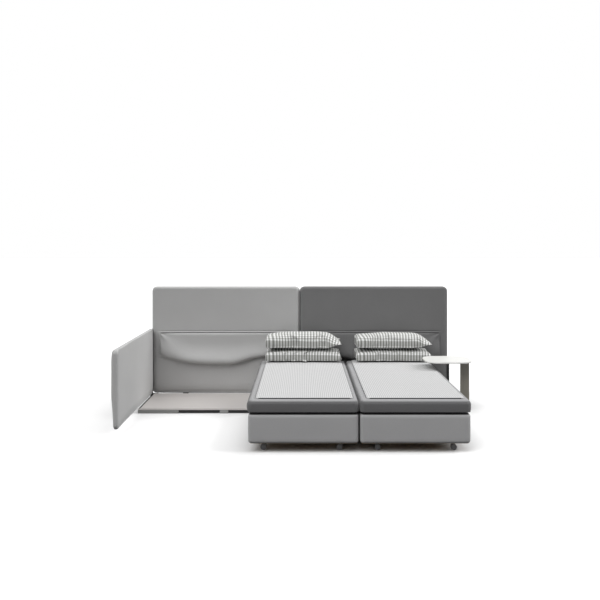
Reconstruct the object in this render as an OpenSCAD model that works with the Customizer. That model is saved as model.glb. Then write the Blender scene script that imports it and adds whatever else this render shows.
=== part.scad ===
// Sofa bed: two tall upholstered backs on low steel bases, with an arm panel, a swivel table,
// two bed modules that stand on the base and on casters, and four pillows.
// X runs to the right, Y towards the back and Z up. The origin is on the floor, in the middle
// of the sofa, below the front face of the backs.

/* [Backs] */
// Width of one back unit, from the middle of the sofa to its end
unit_w = 1634; // [1620:1:1800]
// Gap between the two backs
unit_gap = 4; // [2:1:10]
// Height of the top edge of a back above the floor
back_top = 1220; // [1100:5:1300]
// Height of the bottom edge of a back above the top of the base
back_rise = 1.5; // [1:0.5:20]
// Thickness of an upholstered back
back_t = 100; // [84:1:130]
// Radius of the corners of a back, seen from the front
back_corner_r = 50; // [40:1:70]
// Radius of the padded edges of a back
back_edge_r = 26; // [14:1:30]
// Thickness of the boards of the timber frame inside a back
back_board_t = 22; // [16:1:26]
// Width of the boards of the timber frame inside a back
back_board_w = 70; // [50:1:90]
// Padding between the edge of a back and its timber frame
back_frame_in = 45; // [40:1:60]

/* [Back pockets] */
// Distance from the ends of a back to the ends of its pocket
pocket_end = 88; // [70:1:120]
// Height of the top edge of a pocket
pocket_top = 702; // [660:1:706]
// Height of the piping over a pocket's zip
piping_z = 718; // [714:1:760]
// Radius of the piping over a pocket's zip
piping_r = 3.5; // [2:0.5:4]
// Height of the lower corners of a pocket
pocket_corner_z = 445; // [440:1:520]
// Sag of the lower edge below its corners
pocket_sag = 68; // [20:1:110]
// How far the empty left pocket hangs forward
pocket_bulge = 52; // [36:1:90]
// How far a pocket hangs forward behind the pillows
pocket_bulge_pressed = 34; // [10:1:40]

/* [Base] */
// Length of one base, from the middle of the sofa
base_w = 1618; // [1560:2:1624]
// Depth of the base
base_d = 774; // [700:2:850]
// Height of the top of the base above the floor
base_top = 42; // [38:1:44]
// Thickness of the top sheet of the base
sheet_t = 9; // [6:1:16]
// Depth of the strip along the front of the base
strip_d = 32; // [20:1:60]
// Width of the open joint between that strip and the top sheet
strip_gap = 14; // [2:0.5:20]
// Width of the dark rim at the end of the top sheet
rim_w = 14; // [5:1:20]
// Width of the steel bars under the sheet
bar_w = 30; // [20:1:40]
// Distance from the edge of the sheet back to the bars
bar_setback = 12; // [6:1:25]
// Height of the bars above the floor
foot_h = 6; // [5:1:12]
// Number of cross bars in one base
cross_bars = 6; // [6:1:8]
// Length of the fascia at the end of a base
fascia_len = 407; // [200:1:500]
// Distance from the middle of the sofa to a front foot
front_foot_x = 756; // [600:1:900]
// Width of a front foot
front_foot_w = 83; // [50:1:120]
// Radius of the round feet
round_foot_r = 20; // [12:1:30]
// Width of the plate that joins the two bases
link_w = 120; // [90:2:160]

/* [Steel behind the backs] */
// Height of the uprights behind the backs
upright_top = 800; // [760:5:1000]
// Width of an upright
upright_w = 60; // [40:1:90]
// Thickness of an upright
upright_t = 8; // [5:1:12]
// Radius of the shank of a frame bolt
bolt_r = 4; // [3:0.5:6]
// Thickness of the end posts
post_t = 20; // [12:1:30]
// Depth of the end posts
post_d = 60; // [50:1:75]
// Height of the post that carries the arm panel
post_left_top = 700; // [680:5:740]
// Height of the bare post at the other end
post_right_top = 400; // [380:5:740]
// Radius of the holes in the bare post, where a second arm panel bolts on
post_hole_r = 5; // [3:0.5:7]
// Distance between those holes
post_hole_gap = 200; // [100:5:240]

/* [Arm panel] */
// Thickness of the arm panel
arm_t = 61; // [58:1:90]
// Length of the arm panel
arm_len = 1617; // [1200:1:1700]
// Height of the top edge of the arm panel
arm_top = 762; // [740:1:800]
// Height of the bottom edge of the arm panel
arm_bottom = 47; // [44:1:90]
// Gap between the arm panel and the front face of the backs
arm_gap = 3; // [2.5:0.5:4]
// Radius of the corners of the arm panel, seen from the side
arm_corner_r = 45; // [36:1:60]
// Radius of the padded edges of the arm panel
arm_edge_r = 27; // [14:1:28]
// Distance from the end of the backs to the inner face of the arm panel
arm_in = 22; // [10:1:23]
// Thickness of the boards inside the arm panel
arm_board_t = 18; // [12:1:22]
// Width of the boards inside the arm panel
arm_board_w = 60; // [40:1:80]
// Height of the lower hinge
hinge_low = 160; // [120:1:220]
// Height of the upper hinge
hinge_high = 560; // [420:1:580]
// Height of one hinge
hinge_h = 80; // [60:1:100]
// Radius of the hinge pins
hinge_pin_r = 5; // [3:0.5:6]

/* [Swivel table] */
// Width of the table top
table_w = 468; // [400:1:520]
// Depth of the table top
table_d = 420; // [380:1:480]
// Thickness of the table top
table_t = 12; // [8:1:20]
// Height of the table top
table_top_z = 524; // [500:1:560]
// Radius of the corners of the table top
table_corner_r = 140; // [40:1:180]
// Distance from the end of the base to the swivel
swivel_out = 56; // [56:1:100]
// Distance from the front face of the backs to the swivel
swivel_y = 670; // [640:1:700]
// Distance from the swivel to the outer edge of the table top
table_out = 56; // [50:1:110]
// Distance from the swivel to the rear edge of the table top
table_back = 226; // [170:1:240]
// Width of the leg
leg_w = 90; // [60:1:96]
// Thickness of the leg
leg_t = 12; // [8:1:18]
// Radius of the swivel pin
swivel_pin_r = 8; // [5:1:12]

/* [Bed modules] */
// Width of one bed box
module_w = 900; // [860:5:900]
// Length of one bed box
module_len = 2000; // [1900:5:2100]
// Gap between the two bed boxes
module_gap = 11; // [9:1:30]
// Distance from the end of the base to the side of the right bed box
module_side = 220; // [180:1:260]
// Distance from the backs to the head end of the modules
head_gap = 148; // [140:1:200]
// Height of the underside of a bed box
box_bottom = 74; // [72:1:90]
// Height of the top of a bed box
box_top = 322; // [300:1:340]
// Radius of the padded edges of a bed box
box_edge_r = 16; // [8:1:20]
// Radius of the upright corners of a bed box
box_corner_r = 30; // [24:1:50]
// Thickness of the padded cover round a bed box
box_cover_t = 16; // [12:1:22]
// Thickness of the boards inside a bed box
box_board_t = 20; // [16:1:26]
// Thickness of the bottom board of a bed box
bottom_board_t = 8; // [5:1:12]
// Number of slats in a bed box
slats = 14; // [8:1:18]
// Thickness of the slats
slat_t = 18; // [10:1:24]

/* [Mattresses] */
// Height of a mattress
mattress_h = 106; // [90:1:130]
// Overhang of a mattress over its box
mattress_over = 2.5; // [0:0.5:4]
// Radius of the upper edge of a mattress
mattress_edge_r = 30; // [20:1:36]
// Radius of the lower edge of a mattress
mattress_foot_r = 11; // [6:1:16]
// Radius of the upright corners of a mattress
mattress_corner_r = 42; // [38:1:60]
// Border of the mattress at the left of its pad
pad_left = 60; // [40:1:90]
// Border of the mattress at the right of its pad
pad_right = 42; // [34:1:90]
// Border of the mattress in front of its pad
pad_front = 62; // [50:1:120]
// Border of the mattress behind its pad
pad_rear = 32; // [31:1:60]
// Thickness of the pad at its edge
pad_t = 8; // [5:1:14]
// Crown of the pad
pad_crown = 3; // [1:1:6]

/* [Casters] */
// Distance from the sides of a box to its casters
caster_in = 136; // [110:1:180]
// Distance from the foot end of a box to its casters
caster_front = 100; // [80:1:160]
// Radius of the caster wheels
wheel_r = 25; // [18:1:26]
// Width of one caster wheel
wheel_w = 13; // [8:1:18]
// Distance that a wheel trails behind its stem
caster_trail = 16; // [8:1:24]
// Radius of the stem on which a caster swivels
stem_r = 5; // [4:0.5:6]
// Radius of the axle of the wheels
axle_r = 3; // [2:0.5:4]
// Radius of the glides under the head end of a box
glide_r = 25; // [15:1:30]
// Distance from the head end of a box to its glides
glide_in = 80; // [60:1:84]

/* [Pillows] */
// Width of a pillow
pillow_w = 810; // [700:5:820]
// Depth of a pillow
pillow_d = 325; // [280:1:330]
// Height of a lower pillow, with another on it
pillow_low_h = 132; // [110:1:150]
// Height of an upper pillow
pillow_high_h = 168; // [130:1:180]
// Gap between the backs and the pillows
pillow_gap = 50; // [50:1:90]
// Distance from the middle of the left module to the middle of its pillows
pillow_shift_left = 4.5; // [-20:0.5:20]
// Distance from the middle of the right module to the middle of its pillows
pillow_shift_right = 51.5; // [0:0.5:52]

/* [Hidden] */

// Gap between pieces that rest on, or are welded to, each other
seat = 0.3;
// Radial play of a pin or shaft in its hole
running_play = 0.05;
// Radial play of a bolt in its hole
bolt_play = 0.3;
// Overrun of every cut past the face it opens
cut = 1;
// Segments in each corner of a padded outline, and in each rolled edge
corner_steps = 5;
roll_steps = 3;
// Smallest corner radius left on a padded outline
corner_min_r = 2;

// Finishes
light_cloth = "#a3a3a3";
dark_cloth = "#5c5c5c";
band_cloth = "#6e6e6e";
pad_cloth = "#d9d9d9";
check_cloth = "#b8bab6";
timber = "#c8ab7c";
dark_steel = "#3a3a3a";
light_steel = "#b9b9b6";
sheet_finish = "#c8c3c0";
white_finish = "#e8e8e2";
leg_finish = "#8b867a";
zinc = "#b4b6b8";
black_plastic = "#2b2b2b";
grey_plastic = "#77777a";

// Places in the base
back_bottom = base_top + back_rise;
rail_top = base_top - sheet_t - seat;
rail_h = rail_top - foot_h;
frame_x0 = unit_gap / 2;
frame_x1 = base_w - bar_setback;
frame_len = frame_x1 - frame_x0;
cross_pitch = (frame_len - bar_w) / (cross_bars - 1);
rail_front_y = -base_d + bar_setback;
rail_mid_y = (rail_front_y - bar_w) / 2;
front_bay = rail_mid_y - rail_front_y - bar_w - 2 * seat;
rear_bay = -bar_w - rail_mid_y - bar_w - 2 * seat;
link_d = base_d - bar_setback + bar_w;

// Places behind the backs
upright_y = back_t + seat;
upright_bars = [1, cross_bars - 2];
bolt_head_r = 2 * bolt_r;
bolt_head_h = 1.25 * bolt_r;
bolt_hole_r = bolt_r + bolt_play;
bolt_bite = 25;
bolt_low_share = 0.265;
bolt_high_share = 0.889;
bolt_zs = [back_bottom + bolt_low_share * (upright_top - back_bottom),
           back_bottom + bolt_high_share * (upright_top - back_bottom)];
base_bolt_z = foot_h + rail_h / 2;
post_y = 8;
post_x = unit_w + seat;
post_hole_mid = (foot_h + post_right_top) / 2;

// Places in the arm panel
arm_x_in = unit_w - arm_in;
arm_x_out = arm_x_in + arm_t;
arm_h = arm_top - arm_bottom;
arm_mid_y = -arm_gap - arm_len / 2;
arm_frame_in = 45;
knuckle_wall = 4;
knuckle_r = hinge_pin_r + knuckle_wall;
hinge_room = 1;
leaf_t = 5;
hinge_x = arm_x_out + knuckle_r + hinge_room;
hinge_y = post_y + knuckle_r - leaf_t / 2 - hinge_room;

// Places in the table
swivel_x = base_w + swivel_out;
table_low_z = table_top_z - table_t;
bush_h = 20;
bush_r = 30;
pin_flange_t = 7;
pin_flange_z = table_low_z - seat - bush_h - seat - pin_flange_t;
leg_top_z = pin_flange_z - seat;
pin_short = 1;
leg_foot_t = 6;
leg_foot_d = 100;
bracket_w = 60;

// Places in the bed modules
modules_x = base_w - module_side - module_w - module_gap / 2;
left_x = modules_x - (module_w + module_gap) / 2;
right_x = modules_x + (module_w + module_gap) / 2;
module_y = -head_gap - module_len / 2;
box_h = box_top - box_bottom;
cavity_w = module_w - 2 * box_cover_t;
cavity_len = module_len - 2 * box_cover_t;
cavity_h = box_h - box_cover_t;
board_w = cavity_w - 2 * seat;
board_len = cavity_len - 2 * seat;
slat_z = box_bottom + cavity_h - seat - slat_t;
box_frame_z = box_bottom + bottom_board_t + seat;
box_frame_h = slat_z - seat - box_frame_z;
box_rails = 5;
slat_share = 0.5;
mattress_z = box_top + seat;
mattress_w = module_w + 2 * mattress_over;
mattress_len = module_len + 2 * mattress_over;
mattress_top = mattress_z + mattress_h;
pad_w = mattress_w - pad_left - pad_right;
pad_len = mattress_len - pad_front - pad_rear;
pad_corner_r = 18;
pad_plateau = 60;
pad_z = mattress_top + seat;
pad_dx = (pad_left - pad_right) / 2;
pad_dy = (pad_front - pad_rear) / 2;
zip_w = 5;
zip_t = 3;

// Places in the casters
plate_t = 2.7;
plate_w = 62;
plate_z = box_bottom - seat - plate_t;
hood_r = 14;
hood_top = plate_z - seat;
hood_room = 6;
hood_z = 2 * wheel_r + hood_room;
web_w = 8;
hub_wall = 5;
hub_r = axle_r + hub_wall;
wheel_edge_r = 3;
caster_y = module_y - module_len / 2 + caster_front;
// Ways that the casters of the left and right module trail at rest
left_trail = -1;
right_trail = 1;

// Places of the pillows
pillow_y = -pillow_gap - pillow_d / 2;
pillow_z = pad_z + pad_t + pad_crown + seat;
pillow_high_z = pillow_z + pillow_low_h + seat;
pillow_cols = 16;
pillow_rows = 10;
pillow_pinch_share = 0.05;
pillow_seam_share = 0.5;
pressed_power = 0.34;
open_power = 0.46;
pressed_gain_share = 1.25;
left_pillow_x = left_x + pillow_shift_left;
right_pillow_x = right_x + pillow_shift_right;

// Profile of a pocket from its top edge down: share of its height, share of its bulge
pocket_shares = [[0, 0], [0.04, 0.13], [0.09, 0.18], [0.2, 0.2], [0.3, 0.23], [0.41, 0.3],
                 [0.52, 0.42], [0.62, 0.58], [0.71, 0.78], [0.79, 0.93], [0.85, 1], [0.91, 0.98],
                 [0.95, 0.84], [0.98, 0.54], [0.99, 0.2], [0.97, 0]];
pocket_cols = 22;
// Thickness of a pocket's cloth at its hem, and of the zip over it
pocket_hem_t = 2;
pocket_zip_t = 2.5;
// Powers of the curves along a pocket: its sag and the fullness of its ends
pocket_sag_power = 2.4;
pocket_end_power = 5;
// Where the bulge of the left pocket starts and ends to flatten, as shares of a unit
pocket_press_shares = [0.26, 0.48];

// Moves children to the left or right half of the sofa
module on_side(side) {
    mirror([side < 0 ? 1 : 0, 0, 0]) children();
}

// A box from its low corner to its high corner
module block(low, high) {
    translate(low) cube(high - low);
}

// Points of a closed ring: a rounded rectangle w by d with corners of radius r, at height z
function ring(w, d, r, z) = [
    for (q = [0:3], i = [0:corner_steps])
        let (a = 90 * (q + i / corner_steps),
             sx = (q == 0 || q == 3) ? 1 : -1,
             sy = q < 2 ? 1 : -1)
        [sx * (w / 2 - r) + r * cos(a), sy * (d / 2 - r) + r * sin(a), z]];

// Steps of [inset, height] round an edge of radius e: closing at its top, or opening at its foot
function roll_in(e, z) = [for (i = [0:roll_steps]) let (a = 90 * i / roll_steps)
    [e * (1 - cos(a)), z + e * sin(a)]];
function roll_out(e, z) = [for (i = [0:roll_steps]) let (a = 90 * i / roll_steps)
    [e * (1 - sin(a)), z + e * (1 - cos(a))]];

// A padded solid w by d: rings at steps of [inset, height], closed with a fan at each end
module padded(w, d, r, steps) {
    n = 4 * (corner_steps + 1);
    m = len(steps);
    rings = [for (s = steps)
        each ring(w - 2 * s[0], d - 2 * s[0], max(r - s[0], corner_min_r), s[1])];
    last = n * m + 1;
    points = concat([[0, 0, steps[0][1]]], rings, [[0, 0, steps[m - 1][1]]]);
    low = [for (i = [0:n - 1]) [0, 1 + i, 1 + (i + 1) % n]];
    high = [for (i = [0:n - 1])
        [last, 1 + n * (m - 1) + (i + 1) % n, 1 + n * (m - 1) + i]];
    sides = [for (k = [0:m - 2], i = [0:n - 1])
        let (a = 1 + n * k + i, b = 1 + n * k + (i + 1) % n)
        each [[a, a + n, b + n], [a, b + n, b]]];
    polyhedron(points = points, faces = concat(low, sides, high));
}

// One half of an upholstered panel w by h: its back lies at height 0, open over the frame
module half_panel(w, h, t, corner_r, edge_r, frame_in, frame_t) {
    seam_in = edge_r / 8;
    difference() {
        padded(w, h, corner_r, concat([[seam_in, seat / 2], [0, (t - edge_r) / 2]],
                                      roll_in(edge_r, t - edge_r)));
        cube([w - 2 * frame_in + 2 * seat, h - 2 * frame_in + 2 * seat, frame_t + 2 * seat],
             center = true);
    }
}

// The top sheet and, across an open joint, the strip in front of it
module base_top(side) {
    color(sheet_finish) on_side(side) {
        block([frame_x0, -base_d, base_top - sheet_t], [base_w, -base_d + strip_d, base_top]);
        block([frame_x0, -base_d + strip_d + strip_gap, base_top - sheet_t],
              [base_w - rim_w - seat, 0, base_top]);
    }
}

// Distance from the middle of the sofa to cross bar i
function cross_x(i) = frame_x0 + i * cross_pitch;

module base_frame(side) {
    color(dark_steel) on_side(side) {
        for (y = [rail_front_y, rail_mid_y, -bar_w])
            block([frame_x0, y, foot_h], [frame_x1, y + bar_w, rail_top]);
        for (i = [0:cross_bars - 1]) translate([cross_x(i), 0, foot_h]) {
            translate([0, rail_front_y + bar_w + seat, 0]) cube([bar_w, front_bay, rail_h]);
            translate([0, rail_mid_y + bar_w + seat, 0]) cube([bar_w, rear_bay, rail_h]);
        }
        for (i = upright_bars) difference() {
            translate([cross_x(i), seat, foot_h]) cube([bar_w, back_t - seat, rail_h]);
            translate([cross_x(i) + bar_w / 2, back_t + cut, base_bolt_z])
                rotate([90, 0, 0]) cylinder(h = bolt_bite + seat + cut, r = bolt_hole_r);
        }
        translate([cross_x(cross_bars - 1), seat, foot_h])
            cube([bar_w, post_y + post_d - seat, rail_h]);
        block([base_w - rim_w, -base_d + strip_d + seat, base_top - sheet_t], [base_w, 0, base_top]);
    }
}

module base_feet() {
    for (side = [-1, 1]) on_side(side) {
        color(light_steel) {
            x0 = front_foot_x - front_foot_w / 2;
            x1 = front_foot_x + front_foot_w / 2;
            block([x0, -base_d, 0], [x1, rail_front_y - seat, rail_top]);
            block([x0, rail_front_y, 0], [x1, rail_front_y + bar_w, foot_h - seat]);
        }
        color(black_plastic)
            for (p = [[frame_x1 - round_foot_r, rail_front_y + round_foot_r],
                      [frame_x1 - round_foot_r, -bar_w / 2],
                      [front_foot_x, -bar_w / 2],
                      [cross_x(1) + bar_w / 2, back_t - round_foot_r],
                      [cross_x(cross_bars - 2) + bar_w / 2, back_t - round_foot_r]])
                translate([p[0], p[1], 0]) cylinder(h = foot_h - seat, r = round_foot_r);
    }
}

module unit_link_plate() {
    color(dark_steel)
        block([-link_w / 2, rail_front_y, 0], [link_w / 2, rail_front_y + link_d, foot_h - seat]);
}

module base_fascia() {
    color(light_steel) for (side = [-1, 1]) on_side(side)
        block([base_w - fascia_len, -base_d, foot_h / 4],
              [base_w, rail_front_y - seat, rail_top]);
}

module end_posts() {
    color(dark_steel) {
        for (side = [-1, 1]) on_side(side)
            block([frame_x1 + seat, post_y, foot_h], [unit_w, post_y + post_d, rail_top]);
        on_side(-1)
            block([post_x, post_y, foot_h], [post_x + post_t, post_y + post_d, post_left_top]);
        difference() {
            block([post_x, post_y, foot_h], [post_x + post_t, post_y + post_d, post_right_top]);
            for (k = [-1, 1])
                translate([post_x - cut, post_y + post_d / 2, post_hole_mid + k * post_hole_gap / 2])
                    rotate([0, 90, 0]) cylinder(h = post_t + 2 * cut, r = post_hole_r);
        }
    }
}

// Distance from the middle of the sofa to the middle of an upright
function upright_x(i) = cross_x(i) + bar_w / 2;

module back_uprights() {
    color(dark_steel) for (side = [-1, 1], i = upright_bars) on_side(side) difference() {
        block([upright_x(i) - upright_w / 2, upright_y, foot_h],
              [upright_x(i) + upright_w / 2, upright_y + upright_t, upright_top]);
        for (z = concat([base_bolt_z], bolt_zs))
            translate([upright_x(i), upright_y + upright_t + cut, z])
                rotate([90, 0, 0]) cylinder(h = upright_t + 2 * cut, r = bolt_hole_r);
    }
}

// A round-headed bolt that points towards the front, with its head's seat at y
module bolt(x, y, z, shank) {
    translate([x, y + bolt_head_h, z]) rotate([90, 0, 0]) {
        cylinder(h = bolt_head_h, r = bolt_head_r);
        cylinder(h = bolt_head_h + shank, r = bolt_r);
    }
}

module frame_bolts() {
    head_y = upright_y + upright_t + seat;
    board_y = (back_t - back_board_t) / 2;
    color(zinc) for (side = [-1, 1], i = upright_bars) on_side(side) {
        for (z = bolt_zs) bolt(upright_x(i), head_y, z, head_y - board_y - back_board_t / 4);
        bolt(upright_x(i), head_y, base_bolt_z, head_y - back_t + bolt_bite);
    }
}

// The boards of the frame inside a back, between its two padded halves
module back_frame(side) {
    x0 = frame_x0 + back_frame_in;
    x1 = unit_w - back_frame_in;
    z0 = back_bottom + back_frame_in;
    z1 = back_top - back_frame_in;
    stiles = [x0, upright_x(upright_bars[0]) - back_board_w / 2,
              upright_x(upright_bars[1]) - back_board_w / 2, x1 - back_board_w];
    color(timber) on_side(side) translate([0, back_t / 2, 0]) difference() {
        union() {
            for (x = stiles)
                translate([x, -back_board_t / 2, z0]) cube([back_board_w, back_board_t, z1 - z0]);
            for (k = [0:2], z = [z0, (z0 + z1 - back_board_w) / 2, z1 - back_board_w])
                block([stiles[k] + back_board_w + seat, -back_board_t / 2, z],
                      [stiles[k + 1] - seat, back_board_t / 2, z + back_board_w]);
        }
        for (i = upright_bars, z = bolt_zs) translate([upright_x(i), back_board_t, z])
            rotate([90, 0, 0]) cylinder(h = 2 * back_board_t, r = bolt_hole_r);
    }
}

// Places the padded half of a back; front is 1 for its front half and -1 for its rear half
module back_half(side, front) {
    on_side(side)
        translate([(frame_x0 + unit_w) / 2, back_t / 2, (back_bottom + back_top) / 2])
            rotate([front * 90, 0, 0])
                half_panel(unit_w - frame_x0, back_top - back_bottom, back_t / 2, back_corner_r,
                           back_edge_r, back_frame_in, back_board_t);
}

module back_front(side) {
    color(side < 0 ? light_cloth : dark_cloth) back_half(side, 1);
}

module back_rear(side) {
    color(side < 0 ? light_cloth : dark_cloth) difference() {
        back_half(side, -1);
        on_side(side) for (i = upright_bars, z = bolt_zs)
            translate([upright_x(i), back_t + cut, z])
                rotate([90, 0, 0]) cylinder(h = back_t / 2 + cut, r = bolt_hole_r);
    }
}

// How far a pocket hangs forward at the place x, full at the left and pressed at the pillows
function bulge_at(x) =
    let (s = (-x / unit_w - pocket_press_shares[0])
             / (pocket_press_shares[1] - pocket_press_shares[0]),
         t = min(max(s, 0), 1))
    pocket_bulge_pressed + (pocket_bulge - pocket_bulge_pressed) * t * t * (3 - 2 * t);

// A point of a pocket: u runs from -1 at its left end to 1 at its right end, j counts down it
function pocket_point(side, u, j) =
    let (x = side * unit_w / 2 + u * (unit_w / 2 - pocket_end),
         rows = len(pocket_shares) - 1,
         full = sqrt(1 - pow(abs(u), pocket_end_power)),
         drop = pocket_corner_z - pocket_sag * (1 - pow(abs(u), pocket_sag_power)),
         share = full * pocket_shares[j][0] + (1 - full) * pocket_shares[rows][0] * j / rows)
    [x, -seat - pocket_hem_t - full * bulge_at(x) * pocket_shares[j][1],
     pocket_top - share * (pocket_top - drop)];

// The front of a pocket is a grid; a narrow wall along its hem leads to its flat back
module back_pocket(side) {
    nx = pocket_cols;
    ny = len(pocket_shares) - 1;
    grid = [for (i = [0:nx], j = [0:ny]) pocket_point(side, -1 + 2 * i / nx, j)];
    hem = concat([for (i = [0:nx - 1]) i * (ny + 1)],
                 [for (j = [0:ny - 1]) nx * (ny + 1) + j],
                 [for (i = [nx:-1:1]) i * (ny + 1) + ny],
                 [for (j = [ny:-1:1]) j]);
    n = len(hem);
    first = len(grid);
    mid = first + n;
    points = concat(grid, [for (k = hem) [grid[k][0], -seat, grid[k][2]]],
                    [[side * unit_w / 2, -seat, (pocket_top + pocket_corner_z) / 2]]);
    front = [for (i = [0:nx - 1], j = [0:ny - 1])
        let (a = i * (ny + 1) + j, b = a + ny + 1)
        each [[a, b, b + 1], [a, b + 1, a + 1]]];
    rim = [for (k = [0:n - 1])
        let (a = hem[k], b = hem[(k + 1) % n], c = first + k, d = first + (k + 1) % n)
        each [[b, a, c], [b, c, d], [mid, d, c]]];
    color(side < 0 ? light_cloth : dark_cloth)
        polyhedron(points = points, faces = concat(front, rim));
}

module pocket_piping() {
    for (side = [-1, 1]) color(side < 0 ? light_cloth : dark_cloth) on_side(side)
        translate([pocket_end, -seat - piping_r, piping_z]) rotate([0, 90, 0])
            cylinder(h = unit_w - 2 * pocket_end, r = piping_r);
}

// The closed zips between the piping and the pockets
module pocket_zips() {
    color(black_plastic) for (side = [-1, 1]) on_side(side)
        block([pocket_end, -seat - pocket_zip_t, pocket_top + seat],
              [unit_w - pocket_end, -seat, piping_z - piping_r - seat]);
}

// Places one half of the arm panel; inner is 1 for its inner half and -1 for its outer half
module arm_half(inner) {
    translate([-(arm_x_in + arm_x_out) / 2, arm_mid_y, (arm_top + arm_bottom) / 2])
        rotate([90, 0, inner * 90])
            half_panel(arm_len, arm_h, arm_t / 2, arm_corner_r, arm_edge_r, arm_frame_in,
                       arm_board_t);
}

module arm_inner_cover() {
    color(light_cloth) arm_half(1);
}

module arm_outer_cover() {
    color(light_cloth) arm_half(-1);
}

// The boards inside the arm panel
module arm_frame() {
    y0 = -arm_gap - arm_len + arm_frame_in;
    y1 = -arm_gap - arm_frame_in;
    z0 = arm_bottom + arm_frame_in;
    z1 = arm_top - arm_frame_in;
    stiles = [y0, (y0 + y1 - arm_board_w) / 2, y1 - arm_board_w];
    color(timber) translate([-(arm_x_in + arm_x_out + arm_board_t) / 2, 0, 0]) {
        for (y = stiles) translate([0, y, z0]) cube([arm_board_t, arm_board_w, z1 - z0]);
        for (k = [0:1], z = [z0, z1 - arm_board_w])
            block([0, stiles[k] + arm_board_w + seat, z],
                  [arm_board_t, stiles[k + 1] - seat, z + arm_board_w]);
    }
}

// The post's half of each hinge: a leaf, the lower knuckle and the pin
module arm_hinge_fixed() {
    color(zinc) for (z = [hinge_low, hinge_high]) {
        block([-hinge_x, hinge_y - leaf_t / 2, z],
              [-post_x - post_t - seat, hinge_y + leaf_t / 2, z + hinge_h / 2]);
        translate([-hinge_x, hinge_y, z]) {
            cylinder(h = hinge_h / 2, r = knuckle_r);
            cylinder(h = hinge_h, r = hinge_pin_r);
        }
    }
}

// The arm panel's half of each hinge: the upper knuckle and a leaf across the panel's end
module arm_hinge_moving() {
    leaf_y = -arm_gap + seat;
    color(zinc) for (z = [hinge_low, hinge_high]) translate([0, 0, z + hinge_h / 2 + seat])
        difference() {
            union() {
                translate([-hinge_x, hinge_y, 0]) cylinder(h = hinge_h / 2, r = knuckle_r);
                block([-hinge_x - knuckle_r, leaf_y, 0],
                      [-hinge_x + knuckle_r, hinge_y, hinge_h / 2]);
                block([-hinge_x, leaf_y, 0],
                      [-arm_x_in - arm_t / 4, leaf_y + leaf_t, hinge_h / 2]);
            }
            translate([-hinge_x, hinge_y, -cut])
                cylinder(h = hinge_h / 2 + 2 * cut, r = hinge_pin_r + running_play);
        }
}

module table_leg() {
    color(leg_finish) {
        block([swivel_x - leg_w / 2, -swivel_y - leg_t / 2, leg_foot_t],
              [swivel_x + leg_w / 2, -swivel_y + leg_t / 2, leg_top_z]);
        block([swivel_x - leg_w / 2, -swivel_y - leg_foot_d / 2, 0],
              [swivel_x + leg_w / 2, -swivel_y + leg_foot_d / 2, leg_foot_t - seat]);
    }
}

module table_bracket() {
    color(dark_steel)
        block([frame_x1 + seat, -swivel_y - bracket_w / 2, foot_h],
              [swivel_x - leg_w / 2 - seat, -swivel_y + bracket_w / 2, rail_top]);
}

module table_pivot_pin() {
    color(zinc) translate([swivel_x, -swivel_y, pin_flange_z]) {
        cylinder(h = pin_flange_t, r = bush_r);
        cylinder(h = pin_flange_t + bush_h - pin_short, r = swivel_pin_r);
    }
}

module table_bush() {
    color(leg_finish) translate([swivel_x, -swivel_y, table_low_z - seat - bush_h]) difference() {
        cylinder(h = bush_h, r = bush_r);
        translate([0, 0, -cut])
            cylinder(h = bush_h + 2 * cut, r = swivel_pin_r + running_play);
    }
}

module table_top() {
    x1 = swivel_x + table_out;
    y1 = -swivel_y + table_back;
    color(white_finish) translate([x1 - table_w / 2, y1 - table_d / 2, table_low_z])
        linear_extrude(table_t) union() {
            square([table_w - 2 * table_corner_r, table_d], center = true);
            square([table_w, table_d - 2 * table_corner_r], center = true);
            for (sx = [-1, 1], sy = [-1, 1])
                translate([sx * (table_w / 2 - table_corner_r), sy * (table_d / 2 - table_corner_r)])
                    circle(r = table_corner_r, $fn = 96);
        }
}

module box_cover(x) {
    color(light_cloth) translate([x, module_y, box_bottom]) difference() {
        padded(module_w, module_len, box_corner_r,
               concat(roll_out(box_edge_r, 0), roll_in(box_edge_r, box_h - box_edge_r)));
        translate([-cavity_w / 2, -cavity_len / 2, -cut]) cube([cavity_w, cavity_len, cavity_h + cut]);
    }
}

module box_bottom_board(x) {
    color(timber) translate([x - board_w / 2, module_y - board_len / 2, box_bottom])
        cube([board_w, board_len, bottom_board_t]);
}

module box_frame(x) {
    inner_w = board_w - 2 * box_board_t - 2 * seat;
    pitch = (board_len - box_board_t) / (box_rails - 1);
    color(timber) translate([x - board_w / 2, module_y - board_len / 2, box_frame_z]) {
        for (dx = [0, board_w - box_board_t])
            translate([dx, 0, 0]) cube([box_board_t, board_len, box_frame_h]);
        for (k = [0:box_rails - 1])
            translate([box_board_t + seat, k * pitch, 0]) cube([inner_w, box_board_t, box_frame_h]);
    }
}

module box_slats(x) {
    pitch = board_len / slats;
    color(timber) for (k = [0:slats - 1])
        translate([x - board_w / 2, module_y - board_len / 2 + (k + (1 - slat_share) / 2) * pitch,
                   slat_z])
            cube([board_w, slat_share * pitch, slat_t]);
}

module mattress(x) {
    color(band_cloth) translate([x, module_y, mattress_z])
        padded(mattress_w, mattress_len, mattress_corner_r,
               concat(roll_out(mattress_foot_r, 0),
                      roll_in(mattress_edge_r, mattress_h - mattress_edge_r)));
}

module mattress_pad(x) {
    color(pad_cloth) translate([x + pad_dx, module_y + pad_dy, pad_z])
        padded(pad_w, pad_len, pad_corner_r,
               [[pad_t / 4, 0], [0, pad_t / 2], [pad_t / 2, pad_t],
                [pad_plateau, pad_t + pad_crown]]);
}

// The closed zip along the front edge of the pad
module pad_zip(x) {
    y1 = module_y + pad_dy - pad_len / 2 - seat;
    color(black_plastic) translate([x + pad_dx - pad_w / 2 + pad_corner_r, y1 - zip_w, pad_z])
        cube([pad_w - 2 * pad_corner_r, zip_w, zip_t]);
}

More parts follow.
